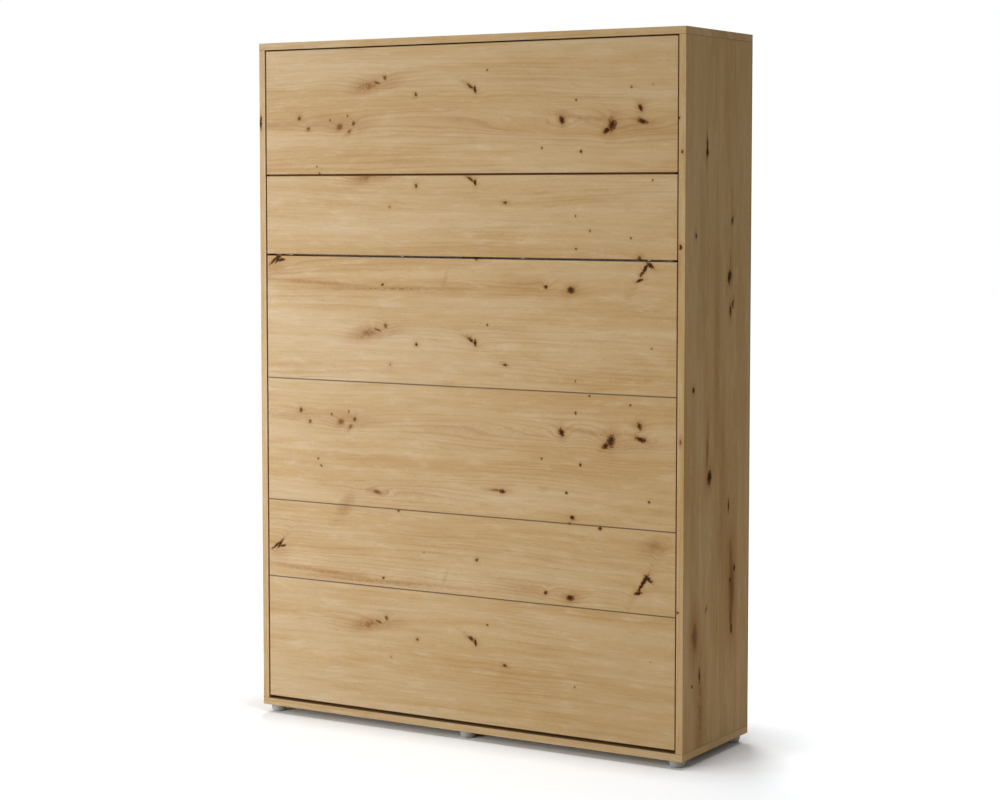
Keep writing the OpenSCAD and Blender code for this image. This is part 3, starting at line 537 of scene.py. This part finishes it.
def beech(name):
    """Pale pink beech with short ray flecks; the sawn edges show the glued plies of bent slats."""
    made, t, shader = material(name, Specular_IOR_Level=0.35)
    fine = t.noise(t.scaled(place(t), 8.0, 30.0, 330.0), 1.0, 3.0)
    fleck = t.noise(t.scaled(place(t), 240.0, 300.0, 900.0), 1.0, 1.0)
    slat = t.noise(t.scaled(place(t), 0.0, 0.0, 6.9), 1.0, 1.0)
    tone = t.mix(fine, srgb(196, 152, 106), srgb(226, 190, 148))
    tone = t.mix(t.fade(slat, 0.35, 0.65, 0.0, 0.35), tone, srgb(206, 160, 116))
    tone = t.mix(t.fade(fleck, 0.62, 0.72, 0.0, 0.5), tone, srgb(150, 98, 60))
    ply = t.math("FRACT", t.math("MULTIPLY", t.split(place(t))[1], 620.0))
    flat = t.math("ABSOLUTE", facing(t)[1])
    glue = t.math("MULTIPLY", t.fade(ply, 0.80, 0.95), t.fade(flat, 0.3, 0.6, 0.65, 0.0))
    t.put(t.mix(glue, tone, srgb(110, 70, 44)), shader.inputs["Base Color"])
    t.put(t.math("MULTIPLY_ADD", fine, 0.15, 0.36), shader.inputs["Roughness"])
    t.put(t.bump(fine, 0.3, 0.0004), shader.inputs["Normal"])
    return made


def hardboard(name):
    """Back sheets: brown pressed fibres with a faint screen texture, printed with the oak decor inside."""
    made, t, shader = material(name, Specular_IOR_Level=0.25)
    x, y, z = t.split(place(t))
    cloud = t.noise(place(t), 5.0, 4.0, 0.6)
    chips = t.noise(place(t), 420.0, 3.0, 0.7)
    strand = t.noise(t.scaled(place(t), 60.0, 0.0, 160.0), 1.0, 4.0, 0.65)
    tone = t.mix(t.fade(cloud, 0.3, 0.7), srgb(148, 110, 74), srgb(158, 120, 82))
    tone = t.mix(t.fade(strand, 0.45, 0.7, 0.0, 0.35), tone, srgb(118, 82, 50))
    tone = t.mix(t.fade(chips, 0.60, 0.75, 0.0, 0.5), tone, srgb(92, 62, 38))
    raw = t.mix(t.fade(chips, 0.25, 0.38, 0.4, 0.0), tone, srgb(190, 156, 116))
    behind = t.fade(facing(t)[1], -0.6, -0.4)
    t.put(t.mix(behind, printed_oak(t, t.xyz(z, x, 12.0), chips), raw), shader.inputs["Base Color"])
    t.put(t.math("MULTIPLY_ADD", chips, 0.2, 0.55), shader.inputs["Roughness"])
    screen = t.math("MULTIPLY", t.math("SINE", t.math("MULTIPLY", x, 2600.0)),
                    t.math("SINE", t.math("MULTIPLY", z, 2600.0)))
    t.put(t.bump(t.math("MULTIPLY_ADD", screen, 0.25, chips), 0.35, 0.0006), shader.inputs["Normal"])
    return made


def plastic(name, colour, rough=0.42, scale=900.0, bump=0.25):
    """Moulded plastic: fine eroded grain, faint cloudiness, scuffs that change the gloss."""
    made, t, shader = material(name, Specular_IOR_Level=0.45)
    grain = t.noise(place(t), scale, 2.0, 0.6)
    cloud = t.noise(place(t), 14.0, 3.0)
    shade = t.math("MULTIPLY_ADD", grain, 0.35, t.math("MULTIPLY", cloud, 0.3))
    t.put(t.mix(shade, colour, darker(colour, 0.72)), shader.inputs["Base Color"])
    t.put(t.math("MULTIPLY_ADD", cloud, 0.18, rough - 0.06), shader.inputs["Roughness"])
    t.put(t.bump(grain, bump, 0.0003), shader.inputs["Normal"])
    return made


def metal(name, colour, rough, spangle=0.0, streaks=0.0, shine=1.0):
    """Plated or coated steel. spangle gives zinc crystals, streaks a rolled or brushed direction."""
    made, t, shader = material(name, Metallic=shine)
    cloud = t.noise(place(t), 22.0, 4.0, 0.6)
    brushed = t.noise(t.scaled(place(t), 900.0, 900.0, 12.0), 1.0, 2.0)
    cells = t.split(t.node("TexVoronoi", {"Vector": place(t), "Scale": 190.0}).outputs["Color"])
    tone = t.mix(t.math("MULTIPLY", cells[0], spangle), colour, darker(colour, 0.62))
    t.put(t.mix(t.fade(cloud, 0.35, 0.7, 0.0, 0.35), tone, darker(colour, 0.75)), shader.inputs["Base Color"])
    dull = t.math("MULTIPLY_ADD", cloud, 0.2, rough - 0.1)
    t.put(t.math("MULTIPLY_ADD", cells[1], 0.5 * spangle * rough, dull), shader.inputs["Roughness"])
    relief = t.math("MULTIPLY_ADD", brushed, streaks, t.math("MULTIPLY", cloud, 0.3))
    t.put(t.bump(relief, 0.2, 0.0003), shader.inputs["Normal"])
    return made


give(melamine("frame_x", "x"), "head_rail", "foot_rail", "cross_rails", "lower_wall_rail",
     "middle_wall_rail", "upper_wall_rail", "stop_blocks")
give(melamine("frame_z", "z"), "side_rail_left", "side_rail_right", "slat_ledges")
give(beech("beech"), "wood_dowels", "slats")
BY_SLOT = {
    "back_board": hardboard("hardboard"),
    "white_plastic": plastic("plastic_white", srgb(222, 220, 212)),
    "grey_plastic": plastic("plastic_grey", srgb(186, 189, 188), 0.48, 700.0, 0.35),
    "joint_strip": plastic("plastic_joint", srgb(106, 92, 68), 0.6),
    "black_plastic": plastic("plastic_black", srgb(38, 38, 40), 0.5),
    "zinc_steel": metal("steel_zinc", srgb(196, 198, 200), 0.36, spangle=0.5),
    "bronze_steel": metal("steel_bronze", srgb(84, 52, 26), 0.5, streaks=0.5),
    "black_steel": metal("steel_black", srgb(34, 35, 37), 0.5, shine=0.0),
    "chrome_rod": metal("steel_chrome", srgb(214, 216, 220), 0.14, streaks=0.15),
    "rubber": plastic("rubber_grey", srgb(74, 74, 72), 0.78, 500.0, 0.4),
}
for row in frame["record"]["subparts"]:
    if row["material_slot"] in BY_SLOT:
        give(BY_SLOT[row["material_slot"]], row["node"])


# ---------- mattress and its straps ----------

def piece(name, verts, faces, mat, body, smooth=True):
    """A new mesh piece that rides on a body, with the material that it is given."""
    mesh = bpy.data.meshes.new(name)
    mesh.from_pydata([tuple(v) for v in verts], [], faces)
    mesh.update()
    for polygon in mesh.polygons:
        polygon.use_smooth = smooth
    mesh.materials.append(mat)
    made = bpy.data.objects.new(name, mesh)
    SCENE.collection.objects.link(made)
    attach(made, body)
    return made


def sweep(path, ring, closed=False):
    """Vertices and faces of a ring carried along a path. path holds (point, across, up) frames."""
    verts, faces, count = [], [], len(ring)
    for point, across, up in path:
        verts += [point + across * a + up * b for a, b in ring]
    rows = len(path)
    for i in range(rows if closed else rows - 1):
        a, b = i * count, (i + 1) % rows * count
        faces += [(a + j, a + (j + 1) % count, b + (j + 1) % count, b + j) for j in range(count)]
    if not closed:
        faces += [tuple(reversed(range(count))), tuple(range((rows - 1) * count, rows * count))]
    return verts, faces


MAT_LOW, MAT_HIGH = (Vector(corner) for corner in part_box("mattress"))
MAT_CELLS = (84, 8, 120)    # cells of the cover's grid along x, y and z
QUILT_CELLS = 8         # cells from seam to seam of the quilted diamonds, along x and along the bed
RIB_CELLS = 4           # and between the upright seams on the border
SHRINK = 0.006          # the cover starts this much inside the CAD solid and swells towards it
BULGE = 0.0058          # the furthest that the swelling may carry a point
PRESSURE = 11.0
SWELL_FRAMES = 20
EDGE_R = 0.022          # rounding of the mattress's edges
COVER_LOW = MAT_LOW + Vector((SHRINK + 0.001, 0.0005, SHRINK))
COVER_HIGH = MAT_HIGH - Vector((SHRINK + 0.001, SHRINK + 0.0002, SHRINK))


def rounded_box(low, high, cells, radius):
    """A closed grid over a box, its edges rounded."""
    steps = [[low[k] + (high[k] - low[k]) * i / cells[k] for i in range(cells[k] + 1)] for k in range(3)]
    index, verts, faces = {}, [], []

    def vertex(i, j, k):
        if (i, j, k) not in index:
            at = Vector((steps[0][i], steps[1][j], steps[2][k]))
            core = Vector([min(max(at[n], low[n] + radius), high[n] - radius) for n in range(3)])
            out = at - core
            if out.length > radius:
                at = core + out.normalized() * radius
            index[(i, j, k)] = len(verts)
            verts.append(at)
        return index[(i, j, k)]

    for axis in range(3):
        u, v = [n for n in range(3) if n != axis]
        for side in (0, cells[axis]):
            for a in range(cells[u]):
                for b in range(cells[v]):
                    corners = []
                    for da, db in ((0, 0), (1, 0), (1, 1), (0, 1)):
                        spot = [0, 0, 0]
                        spot[axis], spot[u], spot[v] = side, a + da, b + db
                        corners.append(vertex(*spot))
                    flip = (side == 0) == (axis != 1)
                    faces.append(tuple(reversed(corners)) if flip else tuple(corners))
    return verts, faces


def grid_place(value, axis):
    """Where a coordinate lies on the cover's grid, in cells."""
    return (value - COVER_LOW[axis]) / (COVER_HIGH[axis] - COVER_LOW[axis]) * MAT_CELLS[axis]


def from_line(value, every):
    """How far a place on the grid is from the nearest of the lines that come every so many cells: 0 to 0.5
    of the step between them."""
    part = value / every % 1.0
    return min(part, 1 - part)


def swell(o, held):
    """Cloth simulation: the held points stay, the rest swells under PRESSURE, at most by BULGE."""
    group_held = o.vertex_groups.new(name="held")
    for number, weight in enumerate(held):
        if weight > 0:
            group_held.add([number], weight, "REPLACE")
    start = [v.co.copy() for v in o.data.vertices]
    cloth = o.modifiers.new("cloth", "CLOTH")
    settings = cloth.settings
    settings.quality, settings.mass = 4, 0.1
    settings.tension_stiffness = settings.compression_stiffness = 12.0
    settings.shear_stiffness, settings.bending_stiffness = 6.0, 0.4
    settings.use_pressure, settings.uniform_pressure_force = True, PRESSURE
    settings.effector_weights.gravity = 0.0
    settings.vertex_group_mass = "held"
    cloth.collision_settings.use_collision = False
    for number in range(1, SWELL_FRAMES + 1):
        SCENE.frame_set(number)
    done = o.evaluated_get(bpy.context.evaluated_depsgraph_get())
    after = [v.co.copy() for v in done.data.vertices]
    o.modifiers.remove(cloth)
    SCENE.frame_set(1)
    for vertex, old, new in zip(o.data.vertices, start, after):
        move = new - old
        vertex.co = old + move * min(1.0, BULGE / max(move.length, 1e-9))


def ticking(name):
    """Knitted mattress cover: rows of loops, a soft woven leaf pattern, stitched diamonds on the top and the
    bottom, ribs on the border."""
    made, t, shader = material(name, Specular_IOR_Level=0.25, Sheen_Weight=0.2, Sheen_Roughness=0.5)
    x, y, z = t.split(place(t))
    top = t.fade(t.math("ABSOLUTE", facing(t)[1]), 0.55, 0.8)
    rows = t.math("SINE", t.math("MULTIPLY", t.math("ADD", z, y), 4200.0))
    loop = t.math("SINE", t.math("MULTIPLY_ADD", x, 4200.0, t.math("MULTIPLY", rows, 0.8)))
    knit = t.math("MULTIPLY", rows, loop)
    wave = t.math("MULTIPLY", t.math("SINE", t.math("MULTIPLY", z, 130.0)), 1.2)
    slant = t.math("SINE", t.math("MULTIPLY", t.math("ADD", z, t.math("MULTIPLY", x, 0.5)), 160.0))
    curl = t.math("MULTIPLY", t.math("SINE", t.math("MULTIPLY_ADD", x, 260.0, wave)), slant)
    leaf = t.math("MULTIPLY", t.fade(curl, 0.05, 0.3), top)
    ribs = t.math("MULTIPLY", t.math("SINE", t.math("MULTIPLY", y, 1250.0)), t.math("SUBTRACT", 1.0, top))
    cloud = t.noise(place(t), 6.0, 3.0)
    tone = t.mix(leaf, srgb(224, 221, 214), srgb(236, 234, 228))
    tone = t.mix(t.math("MULTIPLY", t.fade(ribs, 0.2, 0.9), 0.35), tone, srgb(196, 192, 184))
    tone = t.mix(t.fade(cloud, 0.3, 0.7, 0.0, 0.25), tone, srgb(216, 212, 203))

    size = COVER_HIGH - COVER_LOW
    across = t.math("MULTIPLY", t.math("SUBTRACT", x, COVER_LOW.x), MAT_CELLS[0] / size.x / QUILT_CELLS)
    along = t.math("MULTIPLY", t.math("SUBTRACT", z, COVER_LOW.z), MAT_CELLS[2] / size.z / QUILT_CELLS)

    def from_seam(value):
        part = t.math("FRACT", value)
        return t.math("MULTIPLY", t.math("MINIMUM", part, t.math("SUBTRACT", 1.0, part)),
                      QUILT_CELLS * size.x / MAT_CELLS[0])

    near = t.math("MINIMUM", from_seam(t.math("ADD", across, along)),
                  from_seam(t.math("SUBTRACT", across, along)))
    near = t.math("ADD", near, t.math("SUBTRACT", 1.0, top))
    dash = t.fade(t.math("SINE", t.math("MULTIPLY", x, 1100.0)), -0.3, 0.1)
    # painted shade in the creases beside the quilting seams; the thin dashes below are the stitches
    tone = t.mix(t.fade(near, 0.001, 0.010, 0.28, 0.0), tone, srgb(176, 172, 164))
    tone = t.mix(t.math("MULTIPLY", t.fade(near, 0.0006, 0.0012, 1.0, 0.0), dash), tone, srgb(160, 158, 152))
    t.put(tone, shader.inputs["Base Color"])
    t.put(t.math("MULTIPLY_ADD", leaf, -0.12, 0.88), shader.inputs["Roughness"])
    loops = t.math("MULTIPLY_ADD", knit, 0.35, t.math("MULTIPLY", ribs, 0.5))
    t.put(t.bump(t.math("MULTIPLY_ADD", leaf, 0.5, loops), 0.5, 0.0006), shader.inputs["Normal"])
    return made


def webbing(name, colour):
    """Woven band: lengthwise ribs crossed by slanting picks, paler where it is rubbed."""
    made, t, shader = material(name, Specular_IOR_Level=0.3, Sheen_Weight=0.15)
    x, y, z = t.split(place(t))
    rib = t.math("SINE", t.math("MULTIPLY", z, 2500.0))
    pick = t.math("SINE", t.math("MULTIPLY_ADD", t.math("ADD", x, y), 3300.0, t.math("MULTIPLY", rib, 1.6)))
    weave = t.math("MULTIPLY", t.math("ADD", rib, pick), 0.5)
    worn = t.noise(place(t), 30.0, 4.0, 0.65)
    pale = tuple(min(1.0, 1.9 * c + 0.02) for c in colour[:3]) + (1.0,)
    tone = t.mix(t.fade(weave, -0.8, 0.8, 0.0, 0.45), colour, pale)
    t.put(t.mix(t.fade(worn, 0.5, 0.75, 0.0, 0.3), tone, pale), shader.inputs["Base Color"])
    t.put(t.math("MULTIPLY_ADD", worn, 0.2, 0.62), shader.inputs["Roughness"])
    t.put(t.bump(weave, 0.6, 0.0005), shader.inputs["Normal"])
    return made


def make_mattress():
    """The quilted cover: seams held, the pads between them swollen by the cloth simulation."""
    verts, faces = rounded_box(COVER_LOW, COVER_HIGH, MAT_CELLS, EDGE_R)
    o = piece("mattress_cover", verts, faces, ticking("ticking"), "bed")
    held = []
    for v in verts:
        rim = min(v.x - COVER_LOW.x, COVER_HIGH.x - v.x)
        end = min(v.z - COVER_LOW.z, COVER_HIGH.z - v.z)
        depth = COVER_HIGH.y - v.y
        if v.y - COVER_LOW.y < 0.02 or (depth < EDGE_R and min(rim, end) < EDGE_R * 0.6 and depth > 0.002):
            held.append(1.0)
        elif depth < 0.004:
            across, along = grid_place(v.x, 0), grid_place(v.z, 2)
            near = min(from_line(across + along, QUILT_CELLS), from_line(across - along, QUILT_CELLS))
            held.append(1.0 if near < 0.05 else 0.0)
        else:
            near = from_line(grid_place(v.z, 2) if rim < end else grid_place(v.x, 0), RIB_CELLS)
            held.append(0.9 if near < 0.11 else 0.0)
    # the underside and the rounded upper edge stay; so do the seams of the diamonds and of the border
    swell(o, held)
    smooth = o.modifiers.new("subdivision", "SUBSURF")
    smooth.levels = smooth.render_levels = 1
    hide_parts("mattress")


def oval(across, up, count):
    """Points round an ellipse that is given by its two half widths."""
    return [(across * math.cos(math.radians(360 / count * k)), up * math.sin(math.radians(360 / count * k)))
            for k in range(count)]


TAPE_R = 0.0032
TAPE_INSET = EDGE_R * (1 - math.cos(math.radians(45)))  # from the cover's box to the middle of its rounding


def make_piping(name, y, mat):
    """The taped edge round the mattress: a small tube on the middle of its rounding."""
    turn_r = EDGE_R * 0.75
    left, right = COVER_LOW.x + TAPE_INSET + turn_r, COVER_HIGH.x - TAPE_INSET - turn_r
    low, high = COVER_LOW.z + TAPE_INSET + turn_r, COVER_HIGH.z - TAPE_INSET - turn_r
    path = []
    for cx, cz, first in ((right, high, 0), (left, high, 90), (left, low, 180), (right, low, 270)):
        for step in range(9):
            angle = math.radians(first + 90 * step / 8)
            out = Vector((math.cos(angle), 0, math.sin(angle)))
            path.append((Vector((cx, y, cz)) + out * turn_r, out, Vector((0, 1, 0))))
    dense = []
    for (p, a, u), (q, _, _) in zip(path, path[1:] + path[:1]):
        steps = max(1, round((q - p).length / 0.03))
        dense += [(p.lerp(q, k / steps), a, u) for k in range(steps)]
    verts, faces = sweep(dense, oval(TAPE_R, TAPE_R, 8), closed=True)
    piece(name, verts, faces, mat, "bed")


STRAP_LOW, STRAP_HIGH = (Vector(corner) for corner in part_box("mattress_straps"))
STRAP_T = 0.0016
STRAP_W = 0.040
BUCKLE_X = 0.40         # where on the strap the adjuster sits
FOOT_RUN = 0.0149       # from the strap's foot on the rail to where it goes up beside the mattress
STRAP_R = (0.004, 0.019)    # its bends at the rail and over the mattress's edge


def strap_path(z):
    """Centre line of one retaining strap, from the left rail over the mattress to the right rail."""
    flat_y, top_y = STRAP_LOW.y + STRAP_T / 2, STRAP_HIGH.y - STRAP_T / 2
    side_x, foot_x = -STRAP_HIGH.x + FOOT_RUN, -STRAP_HIGH.x + 0.0006
    small, r = STRAP_R
    left = [(foot_x, flat_y), (side_x - small, flat_y)]
    left += [(side_x - small + small * math.sin(a), flat_y + small - small * math.cos(a))
             for a in (math.radians(d) for d in (30, 60, 90))]
    left += [(side_x, flat_y + k * 0.02) for k in (1, 2, 3, 4)]
    left += [(side_x + r - r * math.cos(a), top_y - r + r * math.sin(a))
             for a in (math.radians(d) for d in range(0, 91, 15))]
    run = [(x / 100.0, top_y) for x in range(-66, 67, 2)]
    points = left + run + [(-x, y) for x, y in reversed(left)]
    path = []
    for i, (x, y) in enumerate(points):
        before, after = points[max(i - 1, 0)], points[min(i + 1, len(points) - 1)]
        along = Vector((after[0] - before[0], after[1] - before[1], 0)).normalized()
        up = Vector((-along.y, along.x, 0))
        path.append((Vector((x, y, z)), Vector((0, 0, 1)), up))
    return path


def band_ring(width, thick):
    """The outline of a flat band with small bevels."""
    w, t, c = width / 2, thick / 2, thick * 0.3
    half = [(-w, -t + c), (-w + c, -t), (0.0, -t), (w - c, -t), (w, -t + c)]
    return half + [(-a, -b) for a, b in half]


def lattice(xs, zs, open_cells, y0, y1):
    """A flat frame made of the cells of a grid, some of them left open."""
    verts, faces, index = [], [], {}

    def vertex(i, j, y):
        if (i, j, y) not in index:
            index[(i, j, y)] = len(verts)
            verts.append((xs[i], y, zs[j]))
        return index[(i, j, y)]

    solid = {(i, j) for i in range(len(xs) - 1) for j in range(len(zs) - 1)} - set(open_cells)
    for i, j in sorted(solid):
        loop = [(i, j), (i + 1, j), (i + 1, j + 1), (i, j + 1)]
        faces.append([vertex(*p, y0) for p in loop])
        faces.append([vertex(*p, y1) for p in reversed(loop)])
        for (a, b), (di, dj) in zip(zip(loop, loop[1:] + loop[:1]), ((0, -1), (1, 0), (0, 1), (-1, 0))):
            if (i + di, j + dj) not in solid:
                faces.append([vertex(*a, y0), vertex(*a, y1), vertex(*b, y1), vertex(*b, y0)])
    return verts, faces


def make_strap(name, z, mats):
    """One retaining strap with its adjuster, its loose end and its stitches."""
    band, plastic_mat, thread = mats
    verts, faces = sweep(strap_path(z), band_ring(STRAP_W, STRAP_T))
    o = piece(name, verts, faces, band, "bed")
    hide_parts("mattress_straps")
    # three-bar adjuster on top of the strap, and the loose end that comes out of it
    middle, top = BUCKLE_X, STRAP_HIGH.y
    xs = [middle + d for d in (-0.024, -0.018, -0.005, 0.001, 0.014, 0.021)]
    zs = [z + d for d in (-0.028, -0.0215, 0.0215, 0.028)]
    verts, faces = lattice(xs, zs, [(1, 1), (3, 1)], top + 0.0004, top + 0.0056)
    buckle = piece(name + "_buckle", verts, faces, plastic_mat, "bed", smooth=False)
    edge = buckle.modifiers.new("edges", "BEVEL")
    edge.width, edge.segments, edge.limit_method = 0.0014, 3, "ANGLE"
    tail = []
    for k in range(15):
        x = middle + 0.0075 - 0.011 * k
        lift = 0.0010 + 0.0042 * math.exp(-((x - middle + 0.002) / 0.020) ** 2) + 0.0016 * (k / 14) ** 3
        tail.append((Vector((x, top + 0.0008 + lift, z)), Vector((0, 0, 1)), Vector((0, 1, 0))))
    verts, faces = sweep(tail, band_ring(STRAP_W - 0.001, STRAP_T))
    piece(name + "_tail", verts, faces, band, "bed")
    # box of bar tacks where the band is doubled at each rail
    for side, mark in ((-1, "left"), (1, "right")):
        verts, faces = [], []
        for row in range(2):
            for k in range(9):
                at = Vector((side * (STRAP_HIGH.x - FOOT_RUN + STRAP_T / 2),
                             STRAP_LOW.y + 0.016 + 0.014 * row, z - 0.016 + 0.004 * k))
                stitch = [(at + Vector((0, 0, d)), Vector((1, 0, 0)), Vector((0, 1, 0)))
                          for d in (-0.0015, 0.0, 0.0015)]
                more, quads = sweep(stitch, oval(0.0003, 0.0004, 6))
                faces += [tuple(i + len(verts) for i in face) for face in quads]
                verts += more
        piece(f"{name}_stitches_{mark}", verts, faces, thread, "bed")


make_mattress()
TAPE = webbing("edge_tape", srgb(150, 146, 138))
make_piping("mattress_tape_top", COVER_HIGH.y - TAPE_INSET, TAPE)
make_piping("mattress_tape_bottom", COVER_LOW.y + TAPE_INSET, TAPE)
STRAP_MATS = (webbing("strap_band", srgb(52, 54, 58)), BY_SLOT["black_plastic"],
              plastic("strap_thread", srgb(96, 98, 102), 0.6, 1500.0))
for name, z in (("strap_low", STRAP_LOW.z + STRAP_W / 2), ("strap_high", STRAP_HIGH.z - STRAP_W / 2)):
    make_strap(name, z, STRAP_MATS)


# ---------- floor, light and camera ----------

FLOOR_HALF = 30.0
FLOOR_MIDDLE = (0.35, -0.85, 0)     # of the shaded part
FLOOR_SQUEEZE = (0.62, 0.55, 0)     # along x and y, for a shaded part that is longer one way


def make_floor():
    """A pale floor that turns to plain white away from the bed. It throws back less light than it shows."""
    mesh = bpy.data.meshes.new("floor")
    corners = [(FLOOR_HALF * a, FLOOR_HALF * b, 0) for a, b in ((-1, -1), (1, -1), (1, 1), (-1, 1))]
    mesh.from_pydata(corners, [], [(0, 1, 2, 3)])
    floor = bpy.data.objects.new("floor", mesh)
    SCENE.collection.objects.link(floor)
    made, t, shader = material("floor", Roughness=0.85, Emission_Color=(1, 1, 1, 1))
    away = t.scaled(t.vector("SUBTRACT", place(t), FLOOR_MIDDLE), *FLOOR_SQUEEZE)
    white = t.fade(t.vector("LENGTH", away), 0.82, 1.15)
    t.put(t.mix(white, (0.85, 0.865, 0.88, 1), (0, 0, 0, 1)), shader.inputs["Base Color"])
    t.put(white, shader.inputs["Emission Strength"])
    dim = t.node("BsdfDiffuse", {"Color": (0.38, 0.35, 0.30, 1)})
    both = t.node("MixShader", {0: t.node("LightPath").outputs["Is Camera Ray"]})
    t.put(dim.outputs[0], both.inputs[1])
    t.put(shader.outputs[0], both.inputs[2])
    t.put(both.outputs[0], made.node_tree.nodes["Material Output"].inputs["Surface"])
    mesh.materials.append(made)
    return floor


def area_light(name, at, towards, width, height, power, linked, state, colour):
    """A rectangular soft light that leaves the linked object out, or lights nothing else."""
    data = bpy.data.lights.new(name, "AREA")
    data.shape, data.size, data.size_y, data.energy = "RECTANGLE", width, height, power
    data.color = colour
    light = bpy.data.objects.new(name, data)
    light.location = at
    light.rotation_euler = (Vector(towards) - Vector(at)).to_track_quat("-Z", "Y").to_euler()
    SCENE.collection.objects.link(light)
    receivers = bpy.data.collections.new(name + "_lit")
    receivers.objects.link(linked)
    receivers.collection_objects[0].light_linking.link_state = state
    light.light_linking.receiver_collection = receivers


def make_world():
    """White to the camera, a dimmer warm white as light."""
    world = bpy.data.worlds.new("studio")
    SCENE.world = world
    world.use_nodes = True
    t = Tree(world.node_tree)
    background = world.node_tree.nodes["Background"]
    seen = t.node("LightPath").outputs["Is Camera Ray"]
    t.put(t.mix(seen, (0.33, 0.32, 0.305, 1), (1.0, 1.0, 1.0, 1)), background.inputs["Color"])
    background.inputs["Strength"].default_value = 1.0


def make_camera():
    """The photograph's viewpoint: a long lens at eye height."""
    data = bpy.data.cameras.new("camera")
    data.sensor_width, data.lens = 36.0, 83.5
    data.shift_y = -0.04
    camera = bpy.data.objects.new("camera", data)
    camera.location = (3.813, -6.272, 1.696)
    camera.rotation_euler = (math.radians(90 - 4.06), 0, math.radians(31.27))   # pitch and turn
    SCENE.collection.objects.link(camera)
    SCENE.camera = camera


floor = make_floor()
# What a light reaches: all but the floor, or the floor alone
BED, FLOOR = "EXCLUDE", "INCLUDE"
# name, reach, place, aimed at, width, height, power, colour
LIGHTS = (
    ("front_light", BED, (-1.0, -5.0, 1.3), (0, 0, 1.15), 1.6, 2.6, 64, (1.0, 0.95, 0.80)),
    ("left_light", BED, (-2.2, -1.9, 1.15), (-0.3, 0, 1.15), 1.0, 2.6, 46, (0.85, 1.0, 1.38)),
    ("floor_light", FLOOR, (0.35, -0.3, 10.0), (0.35, -0.3, 0), 1.5, 1.2, 610, (0.965, 1.0, 1.04)),
    ("floor_front", FLOOR, (-0.6, -4.2, 2.2), (0, -0.2, 0), 2.5, 1.6, 66, (1.0, 0.93, 0.85)),
    ("floor_back", FLOOR, (-2.2, 3.6, 2.0), (0.5, 0.3, 0), 2.4, 1.8, 190, (1.0, 1.0, 1.0)),
    ("floor_fill", FLOOR, (-1.8, -4.0, 0.9), (-0.2, -0.2, 0), 1.2, 0.5, 75, (1.0, 0.99, 0.97)),
    ("back_light", BED, (-1.0, 4.5, 2.4), (-0.2, 0, 1.0), 2.5, 2.5, 110, (1.0, 0.98, 0.95)),
)
for name, reach, at, towards, width, height, power, colour in LIGHTS:
    area_light(name, at, towards, width, height, power, floor, reach, colour)
make_world()
make_camera()
SCENE.view_settings.view_transform = "Standard"
